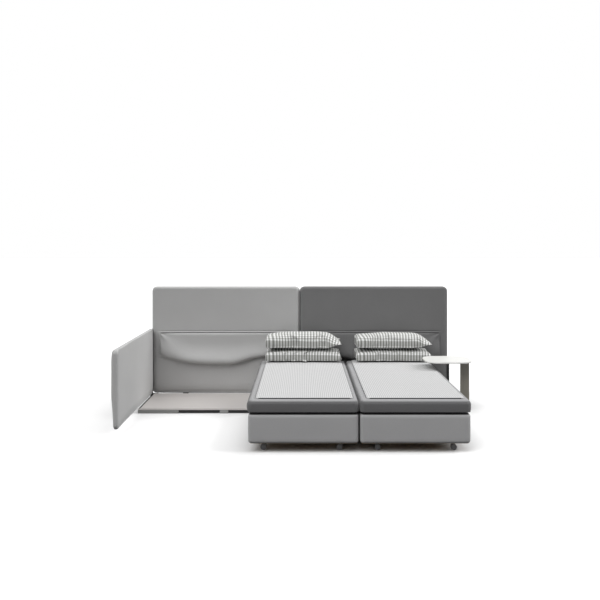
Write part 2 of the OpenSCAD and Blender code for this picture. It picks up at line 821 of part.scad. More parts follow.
// Distance from the middle of the sofa to a caster of the module at x
function caster_x(x, side) = x + side * (module_w / 2 - caster_in);

module caster_plates(x) {
    color(zinc) for (side = [-1, 1]) translate([caster_x(x, side), caster_y, 0]) {
        block([-plate_w / 2, -plate_w / 2, plate_z], [plate_w / 2, plate_w / 2, plate_z + plate_t]);
        translate([0, 0, hood_z]) cylinder(h = plate_z - hood_z, r = stem_r);
    }
}

module caster_fork(x, side, trail) {
    color(grey_plastic) translate([caster_x(x, side), caster_y, 0]) difference() {
        union() {
            translate([0, 0, hood_z]) cylinder(h = hood_top - hood_z, r = hood_r);
            block([min(0, trail * caster_trail) - hub_r, -web_w / 2, wheel_r],
                  [max(0, trail * caster_trail) + hub_r, web_w / 2, hood_z]);
            translate([trail * caster_trail, web_w / 2, wheel_r]) rotate([90, 0, 0])
                cylinder(h = web_w, r = hub_r);
        }
        translate([0, 0, hood_z - seat])
            cylinder(h = hood_top - hood_z + seat + cut, r = stem_r + running_play);
        translate([trail * caster_trail, web_w / 2 + cut, wheel_r]) rotate([90, 0, 0])
            cylinder(h = web_w + 2 * cut, r = axle_r + running_play);
    }
}

module caster_wheels(x, side, trail) {
    translate([caster_x(x, side) + trail * caster_trail, caster_y, wheel_r]) rotate([90, 0, 0]) {
        color(grey_plastic) for (k = [0, 1]) mirror([0, 0, k])
            translate([0, 0, web_w / 2 + seat]) rotate_extrude()
                polygon([[0, 0], [wheel_r - wheel_edge_r, 0], [wheel_r, wheel_edge_r],
                         [wheel_r, wheel_w - wheel_edge_r], [wheel_r - wheel_edge_r, wheel_w],
                         [0, wheel_w]]);
        color(zinc) cylinder(h = web_w, r = axle_r, center = true);
    }
}

module glides(x) {
    color(black_plastic) for (side = [-1, 1])
        translate([caster_x(x, side), -head_gap - glide_in, base_top + seat])
            cylinder(h = box_bottom - base_top - 2 * seat, r = glide_r);
}

// Fullness of a pillow over its seam: u and v run from -1 to 1 across it
function puff(u, v, power) = pow(max((1 - u * u) * (1 - v * v), 0), power);

// A pillow of height h, pressed flat at its foot, and at its top too where pressed is true;
// power sets how square its sides are, and gain_share how wide the flat is
module pillow(h, power, gain_share, pressed) {
    nx = pillow_cols;
    ny = pillow_rows;
    seam = h * pillow_seam_share;
    function u(i) = sin(90 * (-1 + 2 * i / nx));
    function v(j) = sin(90 * (-1 + 2 * j / ny));
    function place(i, j, z) = [
        pillow_w / 2 * u(i) * (1 - pillow_pinch_share * (1 - v(j) * v(j))),
        pillow_d / 2 * v(j) * (1 - pillow_pinch_share * (1 - u(i) * u(i))), z];
    function top_z(i, j) = pressed
        ? min(seam + (h - seam) * gain_share * puff(u(i), v(j), power), h)
        : seam + (h - seam) * puff(u(i), v(j), power);
    function low_z(i, j) = max(seam - seam * gain_share * puff(u(i), v(j), power), 0);
    function high(i, j) = i * (ny + 1) + j;
    function low(i, j) = (i == 0 || i == nx || j == 0 || j == ny) ? high(i, j)
        : (nx + 1) * (ny + 1) + (i - 1) * (ny - 1) + j - 1;
    points = concat(
        [for (i = [0:nx], j = [0:ny]) place(i, j, top_z(i, j))],
        [for (i = [1:nx - 1], j = [1:ny - 1]) place(i, j, low_z(i, j))]);
    faces = [for (i = [0:nx - 1], j = [0:ny - 1])
        each (i < nx / 2) == (j < ny / 2)
            ? [[high(i, j), high(i, j + 1), high(i + 1, j + 1)],
               [high(i, j), high(i + 1, j + 1), high(i + 1, j)],
               [low(i, j), low(i + 1, j + 1), low(i, j + 1)],
               [low(i, j), low(i + 1, j), low(i + 1, j + 1)]]
            : [[high(i, j), high(i, j + 1), high(i + 1, j)],
               [high(i, j + 1), high(i + 1, j + 1), high(i + 1, j)],
               [low(i, j), low(i + 1, j), low(i, j + 1)],
               [low(i, j + 1), low(i + 1, j), low(i + 1, j + 1)]]];
    polyhedron(points = points, faces = faces);
}

module pillow_lower(x) {
    color(check_cloth) translate([x, pillow_y, pillow_z])
        pillow(pillow_low_h, pressed_power, pressed_gain_share, true);
}

module pillow_upper(x) {
    color(check_cloth) translate([x, pillow_y, pillow_high_z])
        pillow(pillow_high_h, open_power, pressed_gain_share, false);
}

base_top(-1);  // base_top_left
base_top(1);  // base_top_right
base_frame(-1);  // base_frame_left
base_frame(1);  // base_frame_right
base_feet();
unit_link_plate();
base_fascia();
end_posts();
back_uprights();
frame_bolts();
back_frame(-1);  // back_frame_left
back_frame(1);  // back_frame_right
back_front(-1);  // back_front_left
back_front(1);  // back_front_right
back_rear(-1);  // back_rear_left
back_rear(1);  // back_rear_right
back_pocket(-1);  // back_pocket_left
back_pocket(1);  // back_pocket_right
pocket_piping();
pocket_zips();
arm_hinge_fixed();
arm_hinge_moving();
arm_frame();
arm_inner_cover();
arm_outer_cover();
table_leg();
table_bracket();
table_pivot_pin();
table_bush();
table_top();
box_frame(left_x);  // left_box_frame
box_bottom_board(left_x);  // left_box_bottom
box_cover(left_x);  // left_box_cover
box_slats(left_x);  // left_slats
caster_plates(left_x);  // left_caster_plates
glides(left_x);  // left_glides
mattress(left_x);  // left_mattress
mattress_pad(left_x);  // left_mattress_pad
pad_zip(left_x);  // left_pad_zip
pillow_lower(left_pillow_x);  // left_pillow_lower
pillow_upper(left_pillow_x);  // left_pillow_upper
caster_fork(left_x, -1, left_trail);  // left_outer_caster_fork
caster_wheels(left_x, -1, left_trail);  // left_outer_caster_wheels
caster_fork(left_x, 1, left_trail);  // left_inner_caster_fork
caster_wheels(left_x, 1, left_trail);  // left_inner_caster_wheels
box_frame(right_x);  // right_box_frame
box_bottom_board(right_x);  // right_box_bottom
box_cover(right_x);  // right_box_cover
box_slats(right_x);  // right_slats
caster_plates(right_x);  // right_caster_plates
glides(right_x);  // right_glides
mattress(right_x);  // right_mattress
mattress_pad(right_x);  // right_mattress_pad
pad_zip(right_x);  // right_pad_zip
pillow_lower(right_pillow_x);  // right_pillow_lower
pillow_upper(right_pillow_x);  // right_pillow_upper
caster_fork(right_x, -1, right_trail);  // right_inner_caster_fork
caster_wheels(right_x, -1, right_trail);  // right_inner_caster_wheels
caster_fork(right_x, 1, right_trail);  // right_outer_caster_fork
caster_wheels(right_x, 1, right_trail);  // right_outer_caster_wheels
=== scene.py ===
"""Sofa bed: upholstered backs on a steel base, an arm panel, two bed modules and a swivel table."""

import math

import bpy
import numpy as np
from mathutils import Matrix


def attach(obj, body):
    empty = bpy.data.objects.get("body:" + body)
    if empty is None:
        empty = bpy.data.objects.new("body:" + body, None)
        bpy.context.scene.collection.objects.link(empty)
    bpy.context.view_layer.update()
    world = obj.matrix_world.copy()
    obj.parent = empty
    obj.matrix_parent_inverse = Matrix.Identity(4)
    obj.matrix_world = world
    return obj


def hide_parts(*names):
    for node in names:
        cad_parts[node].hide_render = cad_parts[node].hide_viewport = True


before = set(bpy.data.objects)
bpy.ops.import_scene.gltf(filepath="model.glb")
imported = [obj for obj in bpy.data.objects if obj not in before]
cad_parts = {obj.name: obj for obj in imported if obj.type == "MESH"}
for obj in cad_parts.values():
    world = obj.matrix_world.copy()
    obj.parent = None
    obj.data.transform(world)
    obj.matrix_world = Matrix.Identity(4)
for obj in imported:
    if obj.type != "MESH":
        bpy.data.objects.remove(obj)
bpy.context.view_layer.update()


# Studio. A pale floor under a bright ceiling, with soft lamps above, at the right and at the
# left. The camera is level, 8.1 m in front of the backs, and its shift keeps upright edges upright.
CAMERA_PLACE = (0.0255, -8.134, 1.727)
CAMERA_LENS = 44.16
CAMERA_SHIFT = (-0.0035, -0.0987)
# Strength, height above the horizon, direction and spread of each lamp; the last three in degrees
LAMPS = {"overhead": (0.85, 68, 10, 40), "right": (2.15, 36, 92, 40), "left": (1.7, 45, -50, 50)}
SKY_LOW, SKY_HIGH = 0.02, 0.35
FLOOR_HALF = 60
FLOOR_BOUNCE = 0.12
FLOOR_SEEN = 0.86
FLOOR_GLOW, GLOW_REACH = 0.25, 0.4
# Middle and half size of the ground that the sofa and the beds stand over
FOOTPRINTS = ((0.04, -0.32, 1.72, 0.42), (0.49, -1.12, 0.92, 1.03))
WHITE = (1, 1, 1, 1)


class Link:
    """An output of a material's nodes. Sums, products and powers of links and plain numbers
    add Math nodes, and node() adds any other node."""

    def __init__(self, tree, socket=None):
        self.tree = tree
        self.socket = socket

    def node(self, kind, settings, inputs, output=0):
        """Adds a node, sets its settings, then its sockets' values or links."""
        made = self.tree.nodes.new(kind)
        for name, value in settings.items():
            setattr(made, name, value)
        for key, value in inputs.items():
            found = [s for s in made.inputs if key in (s.identifier, s.name)]
            socket = made.inputs[key] if isinstance(key, int) else found[0]
            if isinstance(value, Link):
                self.tree.links.new(value.socket, socket)
            else:
                socket.default_value = value
        found = [s for s in made.outputs if output in (s.identifier, s.name)]
        return Link(self.tree, made.outputs[output] if isinstance(output, int) else found[0])

    def math(self, operation, *values, clamp=False):
        settings = {"operation": operation, "use_clamp": clamp}
        return self.node("ShaderNodeMath", settings, dict(enumerate(values)))

    def __add__(self, other):
        return self.math("ADD", self, other)

    def __radd__(self, other):
        return self.math("ADD", other, self)

    def __sub__(self, other):
        return self.math("SUBTRACT", self, other)

    def __rsub__(self, other):
        return self.math("SUBTRACT", other, self)

    def __mul__(self, other):
        return self.math("MULTIPLY", self, other)

    def __rmul__(self, other):
        return self.math("MULTIPLY", other, self)

    def __truediv__(self, other):
        return self.math("DIVIDE", self, other)

    def __pow__(self, other):
        return self.math("POWER", self, other)

    def clamped(self):
        return self.math("ADD", self, 0, clamp=True)

    def mix(self, low, high):
        """The colour low where this link is 0, and high where it is 1."""
        return self.node("ShaderNodeMix", {"data_type": "RGBA"},
                         {"Factor_Float": self, "A_Color": low, "B_Color": high}, "Result_Color")


def seen_rays(start):
    """1 for rays from the camera, a mirror or a window, and 0 for those that carry light."""
    path = start.tree.nodes.new("ShaderNodeLightPath")
    camera, glossy, through = (Link(start.tree, path.outputs[name]) for name in
                               ("Is Camera Ray", "Is Glossy Ray", "Is Transmission Ray"))
    return (camera + glossy + through).clamped()


def object_place(start):
    return start.node("ShaderNodeTexCoord", {}, {}, "Object")


def parts_of(vector):
    """The x, y and z of a vector link."""
    node = vector.tree.nodes.new("ShaderNodeSeparateXYZ")
    vector.tree.links.new(vector.socket, node.inputs[0])
    return [Link(vector.tree, node.outputs[k]) for k in range(3)]


def far_from(start, middle_x, middle_y, half_x, half_y):
    """Distance of a place from an upright rectangle: the length of its two overhangs."""
    x, y, _ = parts_of(object_place(start))
    over_x = start.math("MAXIMUM", start.math("ABSOLUTE", x - middle_x) - half_x, 0)
    over_y = start.math("MAXIMUM", start.math("ABSOLUTE", y - middle_y) - half_y, 0)
    return (over_x * over_x + over_y * over_y) ** 0.5


def add_object(name, data):
    made = bpy.data.objects.new(name, data)
    bpy.context.scene.collection.objects.link(made)
    return made


camera_data = bpy.data.cameras.new("camera")
camera_data.lens = CAMERA_LENS
camera_data.shift_x, camera_data.shift_y = CAMERA_SHIFT
camera = add_object("camera", camera_data)
camera.location = CAMERA_PLACE
camera.rotation_euler = (math.pi / 2, 0, 0)
bpy.context.scene.camera = camera
bpy.context.scene.view_settings.view_transform = "Standard"

for word, (strength, rise, turn, spread) in LAMPS.items():
    lamp = bpy.data.lights.new(word, "SUN")
    lamp.energy = strength
    lamp.angle = math.radians(spread)
    add_object(word, lamp).rotation_euler = (math.radians(90 - rise), 0, math.radians(turn))

world = bpy.data.worlds.new("studio")
bpy.context.scene.world = world
world.use_nodes = True
sky = world.node_tree.nodes["Background"]
sky.inputs["Color"].default_value = WHITE
world_start = Link(world.node_tree)
heading = world_start.node("ShaderNodeTexCoord", {}, {}, "Generated")
rise = parts_of(heading)[2].clamped()
ceiling = rise * (SKY_HIGH - SKY_LOW) + SKY_LOW
sky_strength = ceiling + seen_rays(world_start) * (1 - ceiling)
world.node_tree.links.new(sky_strength.socket, sky.inputs["Strength"])

floor_corners = [(x * FLOOR_HALF, y * FLOOR_HALF, 0)
                 for x, y in ((-1, -1), (1, -1), (1, 1), (-1, 1))]
floor_mesh = bpy.data.meshes.new("floor")
floor_mesh.from_pydata(floor_corners, [], [(0, 1, 2, 3)])
floor = add_object("floor", floor_mesh)
floor_material = bpy.data.materials.new("floor")
floor_material.use_nodes = True
floor_tree = floor_material.node_tree
floor_tree.nodes.clear()
floor_start = Link(floor_tree)
bounce, shown = (floor_start.node("ShaderNodeBsdfDiffuse", {}, {"Color": (grey,) * 3 + (1,)})
                 for grey in (FLOOR_BOUNCE, FLOOR_SEEN))
away = floor_start.math("MINIMUM", *(far_from(floor_start, *area) for area in FOOTPRINTS))
near = (away / GLOW_REACH).clamped()
glow_colour = near.mix((0, 0, 0, 1), WHITE)
glow = floor_start.node("ShaderNodeEmission", {}, {"Color": glow_colour, "Strength": FLOOR_GLOW})
shown = floor_start.node("ShaderNodeAddShader", {}, {0: shown, 1: glow})
floor_shader = floor_start.node("ShaderNodeMixShader", {},
                                {0: seen_rays(floor_start), 1: bounce, 2: shown})
floor_output = floor_tree.nodes.new("ShaderNodeOutputMaterial")
floor_tree.links.new(floor_shader.socket, floor_output.inputs["Surface"])
floor_mesh.materials.append(floor_material)


# Base frames. Each half of the sofa stands on a ladder of flat steel bars under its sheet, with
# posts at the ends and uprights behind the backs. Welded, then powder coated dark grey; the grey is
# painted darker still, as painted shade in the slots under the sheets. The two halves are joined by
# a plate, and the table's leg by a bracket.
# Dark grey coat, painted near black as painted shade in the slots under the sheets
FRAME_GREY_AND_SHADE = (0.007, 0.007, 0.0072)
FRAME_BEVEL, BEVEL_FROM = 0.0015, math.radians(35)
WELD_WITHIN = 0.00002


def make_material(name, constants, paint):
    """A Principled material. constants are the sockets that are the same all over the surface,
    and paint gives the links of those that vary."""
    material = bpy.data.materials.new(name)
    material.use_nodes = True
    tree = material.node_tree
    shader = tree.nodes["Principled BSDF"]
    for socket, value in constants.items():
        shader.inputs[socket].default_value = value
    for socket, link in paint(Link(tree)).items():
        tree.links.new(link.socket, shader.inputs[socket])
    return material


def rgb(colour, gain=1.0):
    return tuple(gain * c for c in colour) + (1,)


def noise(place, scale, detail, rough=0.5):
    """Noise round 0.5 at a place, with features of about 1 / scale metres."""
    return place.node("ShaderNodeTexNoise", {}, {"Vector": place, "Scale": scale,
                                                 "Detail": detail, "Roughness": rough}, "Fac")


def bumped(height, distance):
    """Relief: a height of 1 stands out by a distance in metres."""
    return height.node("ShaderNodeBump", {},
                       {"Height": height, "Distance": distance, "Strength": 1.0}, "Normal")


def clouded(name, constants, colour, rough, cloud, gains, spread, grain, stretch=None):
    """A hard finish in clouds of tone and gloss, over a fine grain. cloud holds a noise's scale,
    detail and roughness, gains and spread the ranges of the colour and of the gloss, and grain
    its scale, detail and height. stretch draws the clouds out."""
    def paint(start):
        place = clouds = object_place(start)
        if stretch:
            clouds = place.node("ShaderNodeMapping", {}, {"Vector": place, "Scale": stretch},
                                "Vector")
        tone = noise(clouds, *cloud)
        return {"Base Color": tone.mix(*(rgb(colour, gain) for gain in gains)),
                "Roughness": tone * spread + (rough - spread / 2),
                "Normal": bumped(noise(place, *grain[:2]), grain[2])}
    return make_material(name, constants, paint)


def coated(name, colour, rough):
    """Powder coat: a fine orange peel, with slightly rubbed and dusty patches."""
    return clouded(name, {"IOR": 1.5}, colour, rough, (7, 4, 0.6), (0.93, 1.07), 0.12,
                   (900, 1, 0.00012))


def dress(material, bevel, *names):
    """Gives CAD nodes their finish, and a small bevel on their edges."""
    for name in names:
        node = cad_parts[name]
        for held in node.material_slots:
            held.material = material
        if bevel:
            weld = node.modifiers.new("weld", "WELD")
            weld.merge_threshold = WELD_WITHIN
            edge = node.modifiers.new("edges", "BEVEL")
            edge.width = bevel
            edge.segments = 2
            edge.limit_method = "ANGLE"
            edge.angle_limit = BEVEL_FROM
            edge.harden_normals = True


dress(coated("dark_powder_coat", FRAME_GREY_AND_SHADE, 0.5), FRAME_BEVEL, "base_frame_left",
      "base_frame_right", "unit_link_plate", "end_posts", "back_uprights", "table_bracket")


# Feet and fascias. Light grey coated blocks close the front of the base at its ends and carry it
# in front; round pads stand under the rails.
FASCIA_GREY, FASCIA_BEVEL = (0.42, 0.42, 0.41), 0.0012

dress(coated("light_powder_coat", FASCIA_GREY, 0.5), FASCIA_BEVEL, "base_feet", "base_fascia")


# Base sheets. A greige coated steel sheet lies on each frame, with a satin finish that shows the
# faint streaks of its rolling along the sofa.
SHEET_GREIGE, SHEET_BEVEL = (0.585, 0.557, 0.54), 0.0015
STREAKS = (1.2, 60, 1)

dress(clouded("greige_powder_coat", {"IOR": 1.5}, SHEET_GREIGE, 0.44, (3, 3, 0.6), (0.95, 1.05),
              0.12, (900, 1, 0.0001), STREAKS), SHEET_BEVEL, "base_top_left", "base_top_right")


# Timber. Planed spruce boards stiffen the backs, the arm panel and the bed boxes, with plywood
# under the boxes and slats across them. They show only where the upholstery is open.
SPRUCE, TIMBER_BEVEL = (0.58, 0.40, 0.22), 0.001


def timber_paint(start):
    """Wavering rings as distorted diagonal bands, and fine pores as noise."""
    place = object_place(start)
    rings = start.node("ShaderNodeTexWave", {"bands_direction": "DIAGONAL"},
                       {"Vector": place, "Scale": 14, "Distortion": 6, "Detail": 3,
                        "Detail Scale": 1.5}, "Fac")
    pores = noise(place, 260, 2)
    return {"Base Color": (rings * 0.7 + pores * 0.3).mix(rgb(SPRUCE, 0.78), rgb(SPRUCE, 1.12)),
            "Roughness": pores * 0.15 + 0.55,
            "Normal": bumped(rings * 0.5 + pores, 0.0003)}


dress(make_material("planed_spruce", {}, timber_paint), TIMBER_BEVEL, "back_frame_left",
      "back_frame_right", "arm_frame", "left_box_frame", "left_box_bottom", "left_slats",
      "right_box_frame", "right_box_bottom", "right_slats")


# Bolts, hinges, caster plates and the table's pin. Zinc plated steel, brushed by handling.
ZINC, ZINC_BEVEL = (0.56, 0.57, 0.58), 0.0006

dress(clouded("zinc_plate", {"Metallic": 1.0}, ZINC, 0.37, (60, 4, 0.65), (0.85, 1.1), 0.2,
              (700, 2, 0.0001)), ZINC_BEVEL, "frame_bolts", "arm_hinge_fixed",
      "arm_hinge_moving", "left_caster_plates", "right_caster_plates", "table_pivot_pin")


# Backs. Each is a timber frame in foam and wadding with a woven cover, light grey on the left
# half of the sofa and dark grey on the right. A seam runs round the middle of its edge.
BACK_END = 1.634
BACK_THICK = 0.1
BACK_LOW, BACK_TOP = 0.0435, 1.22
BACKS_GAP = 0.004
BACK_CORNER, BACK_EDGE = 0.05, 0.026
BACK_TUCK, BACK_TUCK_RISE = 0.03, 0.11
BACK_ROUND, BACK_ROUND_OVER = 0.014, 0.06
# Depths of the hollow over the piped line, of the seam round the edge, and of the draw of the
# inner end's rims, and how far that end stands out between them
LINE_DEPTH, SEAM_DEPTH, RIM_DRAWN, ENDS_MEET = 0.0045, 0.0022, 0.0095, 0.0018
LINE_UP, LINE_HALF = 0.012, 0.73
LIGHT_CLOTH = (0.495, 0.495, 0.493)
DARK_CLOTH = (0.19, 0.19, 0.191)
POCKET_TOP, PIPING_Z = 0.7085, 0.718
RIPPLE = 0.0009
THREAD, FABRIC_RELIEF = 0.0022, 0.0005


def box_grid(*lines):
    """The closed surface of a box cut along lattice lines on three axes: the points, the four
    corners of each face, and where each corner lies on the cloth, in metres. Each side is a grid,
    and points that sides share are merged by a number made of their three indices."""
    counts = [len(line) for line in lines]
    quads, cloth = [], []
    for axis in range(3):
        a, b = (axis + 1) % 3, (axis + 2) % 3
        ia, ib = np.meshgrid(np.arange(counts[a] - 1), np.arange(counts[b] - 1), indexing="ij")
        for high in (0, 1):
            turn = [(0, 0), (1, 0), (1, 1), (0, 1)][::1 if high else -1]
            index = np.empty(ia.shape + (4, 3), int)
            for k, (da, db) in enumerate(turn):
                index[..., k, axis] = high * (counts[axis] - 1)
                index[..., k, a] = ia + da
                index[..., k, b] = ib + db
            index = index.reshape(-1, 4, 3)
            quads.append(index)
            across, along = [k for k in range(3) if k != axis]
            cloth.append(np.stack([lines[across][index[..., across]],
                                   lines[along][index[..., along]]], -1))
    quads = np.concatenate(quads)
    keys = (quads[..., 0] * counts[1] + quads[..., 1]) * counts[2] + quads[..., 2]
    _, first, faces = np.unique(keys, return_index=True, return_inverse=True)
    kept = quads.reshape(-1, 3)[first]
    points = np.stack([np.asarray(lines[k])[kept[:, k]] for k in range(3)], 1)
    return points, faces.reshape(-1, 4), np.concatenate(cloth)


def cut_lines(half, radii, step, steps=5, extra=()):
    """Lattice lines from -half to half: at equal angles in each rounding's quarter turn, and at
    about one step between, with extra lines added."""
    high = [half]
    for radius in radii:
        high += list(half - radius + radius * np.tan(np.linspace(0, math.pi / 4, steps + 1)))
    high = np.array(high)
    inner = high.min()
    middle = np.linspace(-inner, inner, max(2, 2 * round(inner / step) + 1))
    lines = np.unique(np.concatenate([-high, middle, high, np.asarray(extra, float)]).round(6))
    keep = np.concatenate([[True], np.diff(lines) > 0.0004])
    keep[-2:] = [keep[-2] and lines[-1] - lines[-2] > 0.0004, True]
    return lines[keep]


def padded_block(half, corner, edges, lines, push):
    """A padded block round the origin. Its outline is rounded by corner, and its rims by edges,
    the lower and the upper one: a point in a rim's square is drawn to the rim's quarter circle.
    push(points, inset, normals) gives how far each point then stands out, in metres."""
    points, faces, cloth = box_grid(*lines)
    flat, high = points[:, :2], points[:, 2]
    inner = np.clip(flat, corner - half[:2], half[:2] - corner)
    away = flat - inner
    outward = away / np.maximum(np.hypot(away[:, 0], away[:, 1]), 1e-9)[:, None]
    inset = corner - np.abs(away).max(1)
    edge = np.where(high > 0, edges[1], edges[0])
    side = np.clip(edge - inset, 0, edge)
    rise = np.clip(np.abs(high) - half[2] + edge, 0, edge)
    scale = edge / np.maximum(np.hypot(side, rise), 1e-9)
    side, rise = side * scale, rise * scale
    flat = inner + outward * (corner - np.where(inset < edge, edge - side, inset))[:, None]
    high = np.where(rise > 0, np.sign(high) * (half[2] - edge + rise), high)
    normals = np.column_stack([outward * (side / edge)[:, None], np.sign(high) * rise / edge])
    points = np.column_stack([flat, high])
    return points + normals * push(points, inset, normals)[:, None], faces, cloth


def ripples(points, size, seed):
    """Soft unevenness from about -1 to 1: the sum of 14 sine waves in random directions, with
    lengths round size, over 1.6 times the root of their number."""
    waves, random = 14, np.random.default_rng(seed)
    directions = random.normal(size=(waves, points.shape[1]))
    directions /= np.linalg.norm(directions, axis=1)[:, None]
    lengths = size * random.uniform(0.6, 1.8, waves)
    phases = random.uniform(0, 2 * math.pi, waves)
    heights = np.sin(2 * math.pi * (points @ directions.T) / lengths + phases)
    return heights.sum(1) / waves ** 0.5 / 1.6


def smooth_step(value, start, end):
    """0 before the start and 1 past the end, with a cubic curve between that is level at both."""
    share = np.clip((value - start) / (end - start), 0, 1)
    return share * share * (3 - 2 * share)


def groove(distance, width):
    """1 in the middle of a groove, falling to 0 at about twice its width."""
    return np.exp(-(distance / width) ** 2)


def add_mesh(name, points, faces, cloth, material, body, stands_for):
    """A smooth mesh piece with its cloth places as a UV map. It rides on a body, stands for CAD
    nodes if any are named, and takes the finish it is given."""
    mesh = bpy.data.meshes.new(name)
    mesh.from_pydata(np.asarray(points).tolist(), [], [list(map(int, face)) for face in faces])
    mesh.polygons.foreach_set("use_smooth", np.ones(len(mesh.polygons), bool))
    mesh.uv_layers.new(name="cloth").data.foreach_set("uv", np.asarray(cloth, float).ravel())
    mesh.materials.append(material)
    made = add_object(name, mesh)
    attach(made, body)
    if stands_for:
        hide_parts(*stands_for)
    return made


def cloth_place(start):
    """Where a point lies on its flat cloth, along the cloth's two directions, in metres."""
    return parts_of(start.node("ShaderNodeUVMap", {"uv_map": "cloth"}, {}, "UV"))[:2]


def wave(link, period):
    """A sine wave along a link, with its period in the link's own units."""
    return link.math("SINE", link * (2 * math.pi / period))


def weave(start, thread):
    """Height of a plain weave, from 0 to 1: raised where a warp or weft thread passes over."""
    u, v = cloth_place(start)
    return wave(u, 2 * thread) * wave(v, 2 * thread) * 0.5 + 0.5


def woven(name, colour, fleck=0.16, sheen=0.12, over=None):
    """Woven upholstery of mixed yarns: light and dark flecks along the threads, soft clouds where
    the nap lies differently, and a sheen of loose fibre. over(start, cloth) changes its colour."""
    def paint(start):
        place = object_place(start)
        yarn = weave(start, THREAD)
        flecks = noise(place, 420, 3, 0.7)
        clouds = noise(place, 3.5, 3, 0.55)
        tone = flecks * 0.75 + yarn * 0.1 + clouds * 0.15
        cloth = tone.mix(rgb(colour, 1 - 2 * fleck), rgb(colour, 1 + 2 * fleck))
        return {"Base Color": over(start, cloth) if over else cloth,
                "Normal": bumped(yarn + flecks * 0.8, FABRIC_RELIEF)}
    return make_material(name, {"Roughness": 0.93, "Specular IOR Level": 0.25,
                                "Sheen Weight": sheen, "Sheen Roughness": 0.45}, paint)


def back_push(points, inset, normals, side):
    """A back is a little uneven, hollow along the seam round its edge, and drawn in over the
    piped line; both hollows are grooves. Its front tucks in toward its lower edge and rounds off
    to its outer end. The rims of its end at the middle of the sofa draw in, and the two ends
    almost touch between them."""
    front, broad = np.maximum(normals[:, 2], 0), np.abs(normals[:, 2])
    height = points[:, 1] + (BACK_LOW + BACK_TOP) / 2
    seam = groove(points[:, 2], 0.003) * (1 - broad)
    along = (front > 0.5) * (np.abs(points[:, 0]) < LINE_HALF)
    line = groove(height - PIPING_Z - LINE_UP, 0.006) * along
    uneven = RIPPLE * ripples(points, 0.28, 4 + side) * np.clip(inset / BACK_CORNER, 0, 1) * broad
    tuck = BACK_TUCK * np.clip(1 - (height - BACK_LOW) / BACK_TUCK_RISE, 0, 1) ** 2 * front
    past = np.clip(1 - (back_half[0] - side * points[:, 0]) / BACK_ROUND_OVER, 0, 1)
    drawn = RIM_DRAWN * smooth_step(np.abs(points[:, 2]), 0.008, 0.024) - ENDS_MEET
    inner_end = np.clip(-side * normals[:, 0], 0, 1)
    return (uneven - SEAM_DEPTH * seam - LINE_DEPTH * line - tuck - BACK_ROUND * past ** 2 * front
            - drawn * inner_end)


# Each side of the sofa: its sign along X, its word, its cloth and the record's slot of that cloth
sides_of_sofa = ((-1, "left", woven("light_woven_cloth", LIGHT_CLOTH), "light_cloth"),
                 (1, "right", woven("dark_woven_cloth", DARK_CLOTH), "dark_cloth"))
back_half = np.array([(BACK_END - BACKS_GAP / 2) / 2, (BACK_TOP - BACK_LOW) / 2, BACK_THICK / 2])
piped_lines = PIPING_Z + 0.009 - (BACK_LOW + BACK_TOP) / 2 + np.linspace(-0.016, 0.016, 9)
back_lines = (cut_lines(back_half[0], (BACK_CORNER, BACK_EDGE), 0.03),
              cut_lines(back_half[1], (BACK_CORNER, BACK_EDGE), 0.03, extra=piped_lines),
              cut_lines(back_half[2], (BACK_EDGE,), 0.012, extra=(-0.006, -0.003, 0.003, 0.006)))
for side, word, cloth_finish, slot in sides_of_sofa:
    points, faces, cloth = padded_block(back_half, BACK_CORNER, (BACK_EDGE, BACK_EDGE), back_lines,
                                        lambda p, i, n: back_push(p, i, n, side))
    middle = np.array([side * (BACK_END + BACKS_GAP / 2) / 2, BACK_THICK / 2,
                       (BACK_LOW + BACK_TOP) / 2])
    points = np.column_stack([points[:, 0], -points[:, 2], points[:, 1]]) + middle
    cover = add_mesh(word + "_back_cover", points, faces, cloth, cloth_finish, "root",
                     ("back_front_" + word, "back_rear_" + word))


# Back pockets. A wide pouch of stretch cloth is sewn to the front of each back, below a closed
# zip and a piped line. The empty pouches sag forward, the right one less behind its pillows.
POCKET_END = 0.088
POCKET_CORNER_Z, POCKET_SAG, POCKET_LIFT = 0.437, 0.074, 0.06
POCKET_SQUARE = {-1: 5, 1: 14}  # power of the bulge's fade at the outer end of each side's pocket
POCKET_FULL, POCKET_PRESSED = 0.052, 0.034
PRESS_FROM, PRESS_TO = 0.26, 0.48
# Profiles from the sewn edge down, as shares of the drop and of the bulge
POCKET_MIDDLE = ((0, 0), (0.03, 0.16), (0.07, 0.2), (0.15, 0.19), (0.28, 0.17), (0.38, 0.18),
                 (0.48, 0.25), (0.58, 0.4), (0.67, 0.6), (0.75, 0.81), (0.82, 0.95), (0.88, 1),
                 (0.94, 0.93), (0.99, 0.62), (1, 0.22), (0.97, 0))
POCKET_ENDS = ((0, 0), (0.03, 0.13), (0.06, 0.17), (0.1, 0.2), (0.17, 0.26), (0.26, 0.36),
               (0.38, 0.52), (0.5, 0.7), (0.62, 0.86), (0.73, 0.97), (0.82, 1), (0.89, 0.95),
               (0.94, 0.8), (0.98, 0.5), (0.99, 0.2), (0.97, 0))
POCKET_GRID = (241, 61)
POCKET_CLOTH = 0.0016
POCKET_STAND, POCKET_SOFT = 0.0045, 0.0015
FOLD_DEPTH, FOLD_REACH, FOLD_COUNT = 0.006, 0.12, 7
PIPING_R, PIPING_CLEAR, PIPING_POINTS = 0.0035, 0.0003, 260
PIPING_PAST = 0.003


def smooth_through(knots, count):
    """A cubic B-spline that follows the knots and starts and ends on its outer ones, which count
    three times; count points lie evenly in its parameter."""
    knots = np.asarray(knots, float)
    held = np.vstack([knots[:1], knots[:1], knots, knots[-1:], knots[-1:]])
    place = np.linspace(0, len(held) - 3 - 1e-9, count)
    first = place.astype(int)
    t = (place - first)[:, None]
    shares = ((1 - t) ** 3, 3 * t ** 3 - 6 * t ** 2 + 4,
              -3 * t ** 3 + 3 * t ** 2 + 3 * t + 1, t ** 3)
    return sum(share / 6 * held[first + k] for k, share in enumerate(shares))


